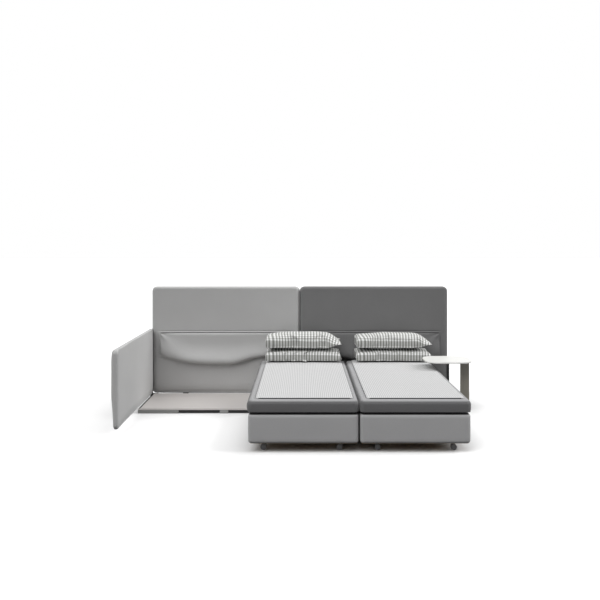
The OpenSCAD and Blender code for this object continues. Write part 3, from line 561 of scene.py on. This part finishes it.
def grid_faces(columns, rows):
    """Quads of a grid whose point number is column * rows + row, in the order that faces -Y for
    columns to the right and rows downward."""
    first = (np.arange(columns - 1)[:, None] * rows + np.arange(rows - 1)).ravel()
    return np.column_stack([first, first + 1, first + rows + 1, first + rows])


def pocket_surface(side):
    """Front of a pocket. Its profiles, for its middle and its ends, give shares of the drop and
    of the bulge. The drop is least at the ends, above all at the middle of the sofa, and the
    bulge fades there as a high power of the place along it. Folds run from the upper corners, as
    cosines of the angle round them."""
    columns, rows = POCKET_GRID
    u = np.linspace(-1, 1, columns)[:, None]
    down = np.linspace(0, 1, rows)[None]
    middle, ends = (smooth_through(knots, rows) for knots in (POCKET_MIDDLE, POCKET_ENDS))
    ending = smooth_step(np.abs(u), 0.5, 0.93)[..., None]
    profile = middle + (ends - middle) * ending
    x = side * BACK_END / 2 + u * (BACK_END / 2 - POCKET_END)
    full = np.sqrt(1 - np.abs(u) ** np.where(side * u > 0, POCKET_SQUARE[side], 5))
    low = (POCKET_CORNER_Z - POCKET_SAG * (1 - np.abs(u) ** 2.4)
           + POCKET_LIFT * smooth_step(-side * u, 0.05, 0.5))
    share = full * profile[..., 0] + (1 - full) * 0.97 * down
    pressed = 1 - smooth_step(-x / BACK_END, PRESS_FROM, PRESS_TO)
    bulge = POCKET_FULL + (POCKET_PRESSED - POCKET_FULL) * pressed
    z = POCKET_TOP - share * (POCKET_TOP - low)
    y = -POCKET_STAND - full * bulge * profile[..., 1]
    x = np.broadcast_to(x, z.shape)
    drop = POCKET_TOP - z
    for end in (-1, 1):
        across = (x - side * BACK_END / 2) * -end + BACK_END / 2 - POCKET_END
        away = np.hypot(across, drop)
        angle = np.arctan2(drop, across)
        fold = (np.cos(FOLD_COUNT * angle + 0.6) * np.exp(-away / FOLD_REACH)
                * smooth_step(away, 0.0, 0.05))
        y = y - FOLD_DEPTH * fold * smooth_step(across, 0, 0.02) * smooth_step(z, 0.4, 0.5)
    points = np.stack([x, y, z], -1)
    step = np.linalg.norm(np.diff(points, axis=1), axis=2)
    along = np.concatenate([np.zeros((columns, 1)), step.cumsum(1)], 1)
    cloth = np.stack([x, -along], -1).reshape(-1, 2)
    faces = grid_faces(columns, rows)
    points = points.reshape(-1, 3)
    soft = ripples(points, 0.16, 11 + side) * (full * profile[..., 1]).ravel() ** 0.5
    points[:, 1] -= POCKET_SOFT * soft
    return points, faces, cloth[faces], along[:, -1]


def tube(path, radii, sides=10):
    """A tube: a ring of points round each point of a path, square to it, with a pole at each end.
    The path lies in an upright plane along X."""
    heading = np.gradient(path, axis=0)
    heading /= np.linalg.norm(heading, axis=1)[:, None]
    across = np.cross(heading, (0.0, -1.0, 0.0))
    across /= np.linalg.norm(across, axis=1)[:, None]
    out = np.cross(across, heading)
    turn = np.linspace(0, 2 * math.pi, sides, endpoint=False)
    rings = path[:, None] + radii[:, None, None] * (
        np.cos(turn)[:, None] * out[:, None] + np.sin(turn)[:, None] * across[:, None])
    count = len(path)
    points = np.vstack([rings.reshape(-1, 3), path[:1], path[-1:]])
    ring, place = np.meshgrid(np.arange(count - 1), np.arange(sides), indexing="ij")
    after = (place + 1) % sides
    quads = np.stack([ring * sides + place, ring * sides + after, (ring + 1) * sides + after,
                      (ring + 1) * sides + place], -1).reshape(-1, 4)[:, ::-1]
    rim = np.arange(sides)
    turned, pole, last = (rim + 1) % sides, np.full(sides, count * sides), (count - 1) * sides
    caps = np.vstack([np.column_stack([turned, rim, pole]),
                      np.column_stack([rim + last, turned + last, pole + 1])])
    faces = quads.tolist() + caps.tolist()
    length = np.concatenate([[0], np.linalg.norm(np.diff(path, axis=0), axis=1).cumsum()])
    where = np.column_stack([np.tile(turn * np.max(radii), count), np.repeat(length, sides)])
    where = np.vstack([where, [[0, 0], [0, length[-1]]]])
    cloth = where[np.concatenate([np.ravel(face) for face in faces])]
    return points, faces, cloth


for side, word, cloth_finish, slot in sides_of_sofa:
    points, faces, cloth, drops = pocket_surface(side)
    pocket = add_mesh(word + "_pocket", points, faces, cloth, cloth_finish, "root",
                      ("back_pocket_" + word,))
    wall = pocket.modifiers.new("cloth", "SOLIDIFY")
    wall.thickness = POCKET_CLOTH
    word + "_back_cover"
    ends = side * BACK_END / 2 + np.array([-1, 1]) * (BACK_END / 2 - POCKET_END + PIPING_PAST)
    route = [(ends[0], z) for z in (POCKET_CORNER_Z + 0.004, 0.53, 0.6, 0.66, 0.69, 0.708)]
    route += [(ends[0] + x, PIPING_Z) for x in [0.01, 0.05] + [0.1 + k * 0.11 for k in range(12)]]
    route += [(sum(ends) - x, z) for x, z in route[7::-1]]
    path = smooth_through([(x, -PIPING_CLEAR - PIPING_R, z) for x, z in route], PIPING_POINTS)
    path[:, 2] += 0.0006 * ripples(path[:, :1], 0.2, 21 + side)
    radii = PIPING_R * np.minimum(1, 0.15 + 0.85 * np.arange(PIPING_POINTS) / 6)
    radii = np.minimum(radii, radii[::-1])
    points, faces, cloth = tube(path, radii)
    add_mesh(word + "_pocket_piping", points, faces, cloth, cloth_finish, "root",
             ("pocket_piping",))


# Zips. Moulded black nylon teeth on a tape: one closes each pocket, and one runs along the
# front edge of each mattress pad.
ZIP_BLACK, ZIP_PITCH = (0.022, 0.022, 0.023), 0.004


def zip_paint(start):
    """Teeth across the zip, as a sine wave along X in colour, gloss and relief."""
    across, _, _ = parts_of(object_place(start))
    teeth = wave(across, ZIP_PITCH) * 0.5 + 0.5
    return {"Base Color": teeth.mix(rgb(ZIP_BLACK, 0.6), rgb(ZIP_BLACK, 1.6)),
            "Roughness": teeth * -0.2 + 0.6, "Normal": bumped(teeth, 0.0008)}


dress(make_material("zip_teeth", {}, zip_paint), 0, "pocket_zips", "left_pad_zip", "right_pad_zip")


# Arm panel. Boards in foam under the light cloth, hinged to the post at the left end. Its two
# broad sides are sewn to a band that goes round its edge.
ARM_LOW, ARM_HIGH = (-1.673, -1.62, 0.047), (-1.612, -0.003, 0.762)
ARM_CORNER, ARM_OUTER_EDGE, ARM_INNER_EDGE = 0.045, 0.036, 0.014
# Painted shade: the arm panel's cloth is painted dark from this depth back, in the colour below,
# for the shade in the crevice at the back
ARM_SHADE_FROM, ARM_SHADE_FADE = -0.06, 0.004
JOINT_SHADE = (0.03, 0.03, 0.03)
ARM_TUCK_LOW, ARM_TUCK_HIGH, ARM_TUCK_FOOT, ARM_FULL = 0.02, 0.006, 0.01, 0.01
ARM_SEAM_IN, ARM_SEAM_DEPTH = 0.019, 0.0025


def arm_push(points, inset, normals):
    """A groove sets off the band round the arm panel from its inner side. The broad sides are
    slightly uneven. The outer one draws in toward its lower and its upper edge, and the inner one
    just above its foot. The inner one is fullest near the free end."""
    inner, broad = np.maximum(normals[:, 2], 0), np.abs(normals[:, 2])
    above = points[:, 1] + arm_half[1]
    ahead = smooth_step(-points[:, 0] - arm_half[0], -0.5, -0.1)
    seam = groove(inset - ARM_SEAM_IN, 0.003) * (inner > 0.9)
    low = ARM_TUCK_LOW * (1 - smooth_step(above, 0, 0.32)) ** 0.8
    high = ARM_TUCK_HIGH * smooth_step(points[:, 1] - arm_half[1], -0.12, 0)
    foot = ARM_TUCK_FOOT * (1 - smooth_step(above, 0, 0.07))
    tuck = np.where(points[:, 2] < 0, low + high, foot) * broad
    uneven = RIPPLE * ripples(points, 0.25, 31) * broad * np.clip(inset / 0.04, 0, 1)
    return uneven + ARM_FULL * ahead * inner - ARM_SEAM_DEPTH * seam - tuck


def arm_joint_painted_shade(start, cloth):
    """Painted shade: the rear end of the arm panel is painted dark where it meets the back, for the
    shade in the crevice between them.
    """
    _, y, _ = parts_of(object_place(start))
    return ((y - ARM_SHADE_FROM) / ARM_SHADE_FADE).clamped().mix(cloth, rgb(JOINT_SHADE))


# The arm's cloth carries the painted shade at its rear end
arm_cloth = woven("arm_woven_cloth", LIGHT_CLOTH, over=arm_joint_painted_shade)
arm_low, arm_high = np.array(ARM_LOW), np.array(ARM_HIGH)
arm_half = (arm_high - arm_low)[[1, 2, 0]] / 2
arm_edges = (ARM_OUTER_EDGE, ARM_INNER_EDGE)
seam_lines = arm_half[:, None] - ARM_SEAM_IN + np.array([-0.004, -0.002, 0, 0.002, 0.004])
seam_lines = np.hstack([-seam_lines, seam_lines])
arm_lines = [cut_lines(half, (ARM_CORNER,) + arm_edges, 0.03, extra=seams)
             for half, seams in zip(arm_half[:2], seam_lines)]
arm_lines.append(cut_lines(arm_half[2], (ARM_OUTER_EDGE - 0.006, ARM_INNER_EDGE), 0.004, steps=7))
points, faces, cloth = padded_block(arm_half, ARM_CORNER, arm_edges, arm_lines, arm_push)
arm_cover = add_mesh("arm_cover", points[:, [2, 0, 1]] + (arm_low + arm_high) / 2, faces, cloth,
                     arm_cloth, "arm", ("arm_inner_cover", "arm_outer_cover"))


# Bed boxes. Thin padding and grey cloth are stretched over a timber box, open below round the
# plywood that closes it.
BOX_SIZE = (0.9, 2.0, 0.248)
BOX_X = {"left": 0.035, "right": 0.95}
BOX_Y, BOX_LOW = -1.148, 0.074
BOX_CORNER, BOX_EDGE = 0.03, 0.025
BOX_WALL = 0.014
BOX_FULL, BOX_RIM_LOW = 0.0012, 0.006
# Painted shade: the boxes' cloth is the backs' light cloth painted darker, for the weaker light on
# the boxes' low fronts
SHADED_BOX_CLOTH = (0.42, 0.42, 0.425)
# Painted shade: above this height each box is painted dark, in the last colour, for the shade in
# the gap under the mattress
BOX_TOP_FROM, BOX_TOP_FADE, BOX_TOP_SHADE = 0.308, 0.004, (0.02, 0.02, 0.02)
RIM_FROM, RIM_TO = 0.05, 0.09


def box_push(points, inset, normals):
    """The cloth of a box is drawn smooth over its padding, a little full on its sides and a
    little low round its top."""
    full = 1 - (points[:, 2] / box_half[2]) ** 2
    sides = 1 - np.abs(normals[:, 2])
    rim = np.maximum(normals[:, 2], 0) * (1 - smooth_step(inset, RIM_FROM, RIM_TO))
    return sides * (BOX_FULL * full + 0.0006 * ripples(points, 0.2, 41)) - BOX_RIM_LOW * rim


def box_top_painted_shade(start, cloth):
    """Painted shade: the top of a box, which the mattress hides, is painted dark, for the shade in
    the gap under the mattress.
    """
    _, _, z = parts_of(object_place(start))
    return ((z - BOX_TOP_FROM) / BOX_TOP_FADE).clamped().mix(cloth, rgb(BOX_TOP_SHADE))


# The boxes' cloth carries the painted shade on their tops
box_cloth = woven("box_woven_cloth", SHADED_BOX_CLOTH, fleck=0.12, sheen=0.2, over=box_top_painted_shade)
box_half = np.array(BOX_SIZE) / 2
box_lines = [cut_lines(half, (BOX_CORNER, BOX_EDGE), 0.03) for half in box_half[:2]]
box_lines.append(cut_lines(box_half[2], (BOX_EDGE,), 0.02))
points, faces, cloth = padded_block(box_half, BOX_CORNER, (BOX_EDGE, BOX_EDGE), box_lines,
                                    box_push)
# The flat underside is left out, so that the box is open below
under = (points[:, 2] < 1e-5 - box_half[2]) & (
    np.abs(points[:, :2]) < box_half[:2] - BOX_EDGE + 1e-5).all(1)
kept = ~under[faces].all(1)
used, faces = np.unique(faces[kept], return_inverse=True)
points, faces, cloth = points[used], faces.reshape(-1, 4), cloth[kept]
for word, x in BOX_X.items():
    middle = (x, BOX_Y, BOX_LOW + box_half[2])
    cover = add_mesh(word + "_box_upholstery", points + middle, faces, cloth, box_cloth,
                     word + "_module", (word + "_box_cover",))
    wall = cover.modifiers.new("padding", "SOLIDIFY")
    wall.thickness = BOX_WALL


# Casters and glides. Each box rolls on two twin-wheel casters of grey nylon at its foot end,
# and its head end stands on black glides on the base.
CASTER_GREY, CASTER_BEVEL = (0.17, 0.17, 0.175), 0.0009
GLIDE_BLACK, GLIDE_BEVEL = (0.028, 0.028, 0.028), 0.0012


def moulded(name, colour, rough):
    """Moulded nylon: a fine spark-eroded grain, with wear that makes it duller in patches."""
    return clouded(name, {"IOR": 1.53}, colour, rough, (45, 3, 0.6), (0.88, 1.12), 0.2,
                   (1300, 2, 0.00012))


dress(moulded("caster_nylon", CASTER_GREY, 0.5), CASTER_BEVEL,
      *(f"{word}_{place}_caster_{part}" for word in BOX_X for place in ("outer", "inner")
        for part in ("fork", "wheels")))
dress(moulded("glide_nylon", GLIDE_BLACK, 0.55), GLIDE_BEVEL, "left_glides", "right_glides")


# Mattresses. A sprung core in a knitted cover: a dark band round the sides, sewn along the upper
# edge to a lighter top. The top's lighter colour is partly its own and partly painted light from
# above.
MATTRESS_SIZE = (0.903, 2.005, 0.106)
MATTRESS_LOW = 0.3223
MATTRESS_CORNER, MATTRESS_FOOT, MATTRESS_EDGE = 0.042, 0.011, 0.03
BAND_CLOTH = (0.142, 0.142, 0.145)
# A lighter top cloth, with painted light from above on the top
BORDER_CLOTH_AND_LIGHT = (0.33, 0.33, 0.335)
BORDER_FROM, BORDER_TO = 0.414, 0.426
MATTRESS_FULL = {"left": 0.009, "right": 0.004}
MATTRESS_LIFT, KNIT_THREAD = 0.009, 0.003


def mattress_paint(start):
    """A knit of mottled yarn, dark up to the seam at the upper edge and lighter above it: partly a
    lighter top cloth and partly painted light from above.
    """
    place = object_place(start)
    _, _, height = parts_of(place)
    yarn = weave(start, KNIT_THREAD)
    tone = noise(place, 380, 3, 0.7) * 0.8 + yarn * 0.2
    top = ((height - BORDER_FROM) / (BORDER_TO - BORDER_FROM)).clamped()
    band = tone.mix(rgb(BAND_CLOTH, 0.75), rgb(BAND_CLOTH, 1.25))
    border_and_light = tone.mix(rgb(BORDER_CLOTH_AND_LIGHT, 0.85), rgb(BORDER_CLOTH_AND_LIGHT, 1.15))
    return {"Base Color": top.mix(band, border_and_light), "Normal": bumped(yarn + tone, 0.0006)}


def mattress_push(points, inset, normals, word):
    """The sides are full between their two seams, most of all on the outer side of the bed. The
    seam at the upper edge is sunk, and the underside lifts off the box all round."""
    sides = 1 - np.abs(normals[:, 2])
    full = 1 - (points[:, 2] / mattress_half[2]) ** 2
    seam = groove(np.arctan2(normals[:, 2], sides) - 0.6, 0.12) * (points[:, 2] > 0)
    lift = np.maximum(-normals[:, 2], 0) * (1 - smooth_step(inset, RIM_FROM, RIM_TO))
    outward = normals[:, 0] * (-1 if word == "left" else 1)
    fullness = 0.002 + MATTRESS_FULL[word] * np.clip(outward, 0, 1)
    return (sides * (fullness * full + 0.0006 * ripples(points, 0.3, 51)) - 0.0015 * seam
            - MATTRESS_LIFT * lift)


mattress_cloth = make_material("mattress_knit", {"Roughness": 0.92, "Specular IOR Level": 0.25,
                                                 "Sheen Weight": 0.35, "Sheen Roughness": 0.4},
                               mattress_paint)
mattress_half = np.array(MATTRESS_SIZE) / 2
mattress_rounds = (MATTRESS_CORNER, MATTRESS_EDGE, MATTRESS_FOOT)
mattress_lines = [cut_lines(half, mattress_rounds, 0.04) for half in mattress_half[:2]]
mattress_lines.append(cut_lines(mattress_half[2], mattress_rounds[1:], 0.01, steps=8))
for word, x in BOX_X.items():
    points, faces, cloth = padded_block(mattress_half, MATTRESS_CORNER,
                                        (MATTRESS_FOOT, MATTRESS_EDGE), mattress_lines,
                                        lambda p, i, n: mattress_push(p, i, n, word))
    middle = (x, BOX_Y, MATTRESS_LOW + mattress_half[2])
    made = add_mesh(word + "_mattress_cover", points + middle, faces, cloth, mattress_cloth,
                    word + "_module", (word + "_mattress",))


# Mattress pads. A thin quilted pad in finely checked white and grey cotton lies on each mattress,
# held down by long dark stitches along its sides.
PAD_SIZE = (0.803, 1.911, 0.008)
PAD_SHIFT = (0.009, 0.015)
PAD_LOW, PAD_CROWN, PAD_PLATEAU = 0.4286, 0.003, 0.06
PAD_CORNER, PAD_EDGE = 0.018, 0.003
PAD_CHECK, CHECK_SOFT = 0.0165, 0.12
# White, the grey of the weft's and of the warp's stripe, and the dark where they cross
PAD_COLOURS = ((0.70, 0.70, 0.70), (0.53, 0.53, 0.53), (0.53, 0.53, 0.53), (0.36, 0.36, 0.365))
COTTON_THREAD = 0.0016
STITCH_LONG, STITCH_PITCH, STITCH_R = 0.032, 0.07, 0.0028
STITCH_OUT, STITCH_RISE, STITCH_POINTS = 0.0035, 0.0006, 6
STITCH_GREY = (0.05, 0.05, 0.052)
PAD_TAPE_BEHIND, PAD_TAPE_HALF = -2.086, 0.375


def gingham(start, check, white, weft_grey, warp_grey, dark):
    """Even checks: a stripe of the warp and one of the weft each cover half of the cloth, and
    the colour is darkest where they cross."""
    u, v = cloth_place(start)
    warp, weft = ((wave(k, check) / (2 * CHECK_SOFT) + 0.5).clamped() for k in (u, v))
    fleck = noise(object_place(start), 500, 2, 0.6) * 0.16 + 0.92
    colour = warp.mix(weft.mix(rgb(white), rgb(weft_grey)), weft.mix(rgb(warp_grey), rgb(dark)))
    return colour.node("ShaderNodeMix", {"data_type": "RGBA", "blend_type": "MULTIPLY"},
                       {"Factor_Float": 1.0, "A_Color": colour, "B_Color": fleck}, "Result_Color")


def cotton_paint(check, colours, relief):
    """Gingham cotton: its checks, with the relief of its weave and of small creases."""
    def paint(start):
        yarn = weave(start, COTTON_THREAD)
        crease = noise(object_place(start), 30, 3, 0.6)
        return {"Base Color": gingham(start, check, *colours),
                "Normal": bumped(yarn * 0.5 + crease, relief)}
    return paint


def pad_paint(start):
    """Checked cotton, and the dark tape of the zip along the pad's upright front edge."""
    made = cotton_paint(PAD_CHECK, PAD_COLOURS, 0.0008)(start)
    _, y, _ = parts_of(object_place(start))
    u, _ = cloth_place(start)
    front = ((PAD_TAPE_BEHIND - y) / 0.001).clamped()
    between = ((PAD_TAPE_HALF - start.math("ABSOLUTE", u)) / 0.002).clamped()
    made["Base Color"] = (front * between).mix(made["Base Color"], rgb(ZIP_BLACK, 1.5))
    return made


def pad_push(points, inset, normals):
    """The pad's top rises to a plateau inside its edges."""
    from_edge = (pad_half[:2] - np.abs(points[:, :2])).min(1)
    rise = PAD_CROWN * smooth_step(from_edge, 0, PAD_PLATEAU)
    top = np.maximum(normals[:, 2], 0)
    return top * (rise + 0.0004 * ripples(points, 0.12, 61) * smooth_step(from_edge, 0, 0.02))


pad_cotton = make_material("checked_pad_cotton", {"Roughness": 0.85, "Specular IOR Level": 0.3,
                                                  "Sheen Weight": 0.15}, pad_paint)
pad_half = np.array(PAD_SIZE) / 2
pad_lines = (cut_lines(pad_half[0], (PAD_CORNER, PAD_EDGE), 0.02, extra=(-0.385, 0.385)),
             cut_lines(pad_half[1], (PAD_CORNER, PAD_EDGE), 0.025, extra=(-0.92, 0.92)),
             cut_lines(pad_half[2], (PAD_EDGE,), 0.002, steps=3))
pad_points, pad_faces, pad_cloth = padded_block(pad_half, PAD_CORNER, (PAD_EDGE, PAD_EDGE),
                                                pad_lines, pad_push)
share = np.linspace(0, 1, STITCH_POINTS)
stitch_radii = STITCH_R * np.sin(math.pi * (0.1 + 0.8 * share))
stitch_heights = PAD_LOW + STITCH_RISE + STITCH_RISE * np.sin(math.pi * share)
stitch_thread = moulded("stitch_thread", STITCH_GREY, 0.8)
for word, x in BOX_X.items():
    middle = np.array([x + PAD_SHIFT[0], BOX_Y + PAD_SHIFT[1], PAD_LOW + pad_half[2]])
    pad = add_mesh(word + "_pad", pad_points + middle, pad_faces, pad_cloth, pad_cotton,
                   word + "_module", (word + "_mattress_pad",))
    all_points, all_faces, all_cloth = [], [], []
    for edge in (-1, 1):
        for k in range(int(PAD_SIZE[1] / STITCH_PITCH) - 1):
            y = middle[1] - pad_half[1] + STITCH_PITCH * (k + 0.8) + STITCH_LONG * share
            x_stitch = np.full(STITCH_POINTS, middle[0] + edge * (pad_half[0] + STITCH_OUT))
            path = np.column_stack([y, x_stitch, stitch_heights])
            points, faces, cloth = tube(path, stitch_radii, 6)
            offset = sum(len(p) for p in all_points)
            all_points.append(points[:, [1, 0, 2]])
            all_faces += [[offset + i for i in face[::-1]] for face in faces]
            all_cloth.append(cloth)
    add_mesh(word + "_pad_stitches", np.vstack(all_points), all_faces, np.vstack(all_cloth),
             stitch_thread, word + "_module", ())


# Pillows. Two sheets of gingham are sewn together round their edge and filled, so that the
# corners stay as flat ears. Two lie on each bed, and the upper one presses the lower one flat.
PILLOW_SIZE = (0.81, 0.325)
PILLOW_CUT = (0.86, 0.37)
CUT_COLUMNS, CUT_ROWS = 59, 25
LOWER_FROM, LOWER_TO, UPPER_FROM, UPPER_TO = 0.4399, 0.5719, 0.5722, 0.7402
PILLOW_X = {"left": 0.0415, "right": 0.9995}
PILLOW_Y = -0.2125
GINGHAM_CHECK = 0.031
GINGHAM_COLOURS = ((0.84, 0.84, 0.835), (0.55, 0.555, 0.54), (0.38, 0.385, 0.37),
                   (0.22, 0.225, 0.21))
# How boxy a pillow is at its left end, in its middle and at its right end, as powers of its height
PILLOW_POWERS = {"lower": (0.38, 0.42, 0.5), "upper": (0.38, 0.5, 2.0)}
PILLOW_FULL = {"left_upper": 0.009}
PILLOW_BLUNT, PILLOW_DROOP, PILLOW_CREASE, PILLOW_PRESSED = 0.1, 0.025, 0.008, 0.55
SHEETS_APART, FILLED_HIGH, FILLING_FRAMES = 0.001, 0.1, 20
FILLING = {"quality": 6, "mass": 0.2, "tension_stiffness": 25, "compression_stiffness": 25,
           "shear_stiffness": 6, "bending_stiffness": 0.08, "use_pressure": True,
           "uniform_pressure_force": 4}


def two_sheets(columns, rows):
    """Two flat grids of cloth that share their border: points, quads and cloth places."""
    u, v = np.meshgrid(np.linspace(-0.5, 0.5, columns), np.linspace(-0.5, 0.5, rows),
                       indexing="ij")
    flat = np.column_stack([u.ravel() * PILLOW_CUT[0], v.ravel() * PILLOW_CUT[1]])
    rim = (np.abs(u) == 0.5) | (np.abs(v) == 0.5)
    below = np.arange(columns * rows)
    free = ~rim.ravel()
    below[free] = columns * rows + np.arange(free.sum())
    points = np.vstack([np.column_stack([flat, SHEETS_APART * free]),
                        np.column_stack([flat[free], np.full(free.sum(), -SHEETS_APART)])])
    upper = grid_faces(columns, rows)[:, ::-1]
    lower = below[upper][:, ::-1]
    return points, np.vstack([upper, lower]), np.vstack([flat[upper], flat[upper[:, ::-1]]])


def filled(points, faces, seed):
    """The shape of two sewn sheets under pressure: a cloth simulation of 20 frames
    without weight."""
    points = points.copy()
    uneven = SHEETS_APART * (1 + ripples(points[:, :2], 0.05, seed))
    points[:, 2] += np.sign(points[:, 2]) * uneven
    mesh = bpy.data.meshes.new("pillow_form")
    mesh.from_pydata(points.tolist(), [], faces.tolist())
    form = add_object("pillow_form", mesh)
    cloth = form.modifiers.new("cloth", "CLOTH")
    for setting, value in FILLING.items():
        setattr(cloth.settings, setting, value)
    cloth.settings.effector_weights.gravity = 0
    cloth.collision_settings.use_collision = False
    for number in range(FILLING_FRAMES):
        bpy.context.scene.frame_set(number + 1)
    made = form.evaluated_get(bpy.context.evaluated_depsgraph_get()).data
    out = np.empty(len(points) * 3)
    made.vertices.foreach_get("co", out)
    bpy.context.scene.frame_set(1)
    bpy.data.objects.remove(form)
    return out.reshape(-1, 3)


def straightened(form):
    """How much wider each place of a pillow is made, so that its long sides, which the filling
    draws in between the corners, run nearly straight: a power of the full width over its own."""
    upper = form[:CUT_ROWS * CUT_COLUMNS]
    front, rear = upper[::CUT_ROWS], upper[CUT_ROWS - 1::CUT_ROWS]
    width = np.where(form[:, 1] < 0, np.interp(form[:, 0], front[:, 0], -front[:, 1]),
                     np.interp(form[:, 0], rear[:, 0], rear[:, 1]))
    return (PILLOW_SIZE[1] / 2 / width) ** 0.8


def stuffed(form, half, powers, pressed_above):
    """The height of a pillow as a power of its own share, with other powers at its two ends and
    on the sides that are pressed, which part at the front. Its left end is drawn upright, and its
    front seam hangs low."""
    left, middle, right = powers
    half_long, half_wide = np.array(PILLOW_SIZE) / 2
    ahead = smooth_step(form[:, 0], 0.24, 0.40)
    behind = 1 - smooth_step(form[:, 0], -0.40, -0.15)
    pressed = (form[:, 2] < 0) | pressed_above
    power = middle + (right - middle) * ahead + (left - middle) * behind
    power = power * np.where(pressed, PILLOW_PRESSED, 1)
    height = (np.abs(form[:, 2]) / np.abs(form[:, 2]).max()) ** power
    from_end = form[:, 0] + half_long
    drawn = PILLOW_BLUNT * (np.clip(from_end, 0, PILLOW_BLUNT) / PILLOW_BLUNT) ** 1.8
    x = np.where(from_end < PILLOW_BLUNT, drawn, from_end) - half_long
    crease = PILLOW_CREASE * smooth_step(-form[:, 1] - half_wide, -0.12, -0.06) * pressed
    z = np.sign(form[:, 2]) * (half - crease) * height
    z -= PILLOW_DROOP * smooth_step(-form[:, 1], 0.05, half_wide) * (1 - height)
    return np.column_stack([x, form[:, 1], z])


pillow_cotton = make_material("gingham_cotton", {"Roughness": 0.88, "Specular IOR Level": 0.3,
                                                 "Sheen Weight": 0.1},
                              cotton_paint(GINGHAM_CHECK, GINGHAM_COLOURS, 0.0012))
sheet_points, sheet_faces, sheet_cloth = two_sheets(CUT_COLUMNS, CUT_ROWS)
for number, (word, level) in enumerate((w, l) for w in PILLOW_X for l in ("lower", "upper")):
    low, high = (LOWER_FROM, LOWER_TO) if level == "lower" else (UPPER_FROM, UPPER_TO)
    half = (high - low) / 2
    form = filled(sheet_points, sheet_faces, 71 + number)
    form -= (form.max(0) + form.min(0)) / 2
    form[:, :2] *= np.array(PILLOW_SIZE) / np.ptp(form[:, :2], axis=0)
    form[:, 1] *= straightened(form)
    form = stuffed(form, half, PILLOW_POWERS[level], level == "lower")
    form[:, 2] *= 1 + (form[:, 2] > 0) * PILLOW_FULL.get(word + "_" + level, 0) / half
    form += PILLOW_X[word], PILLOW_Y, (low + high) / 2
    body = f"{word}_pillow_{level}"
    pillow = add_mesh(f"{word}_{level}_pillow", form, sheet_faces, sheet_cloth, pillow_cotton,
                      body, (body,))
    finer = pillow.modifiers.new("finer", "SUBSURF")
    finer.levels = finer.render_levels = 1


# Swivel table. A steel top, coated off-white, turns on a pin above a flat leg coated warm grey.
TABLE_WHITE, TABLE_BEVEL = (0.76, 0.76, 0.735), 0.003
LEG_GREY, LEG_BEVEL = (0.25, 0.235, 0.2), 0.0015

dress(coated("white_powder_coat", TABLE_WHITE, 0.4), TABLE_BEVEL, "table_top")
dress(coated("warm_grey_powder_coat", LEG_GREY, 0.45), LEG_BEVEL, "table_leg", "table_bush")
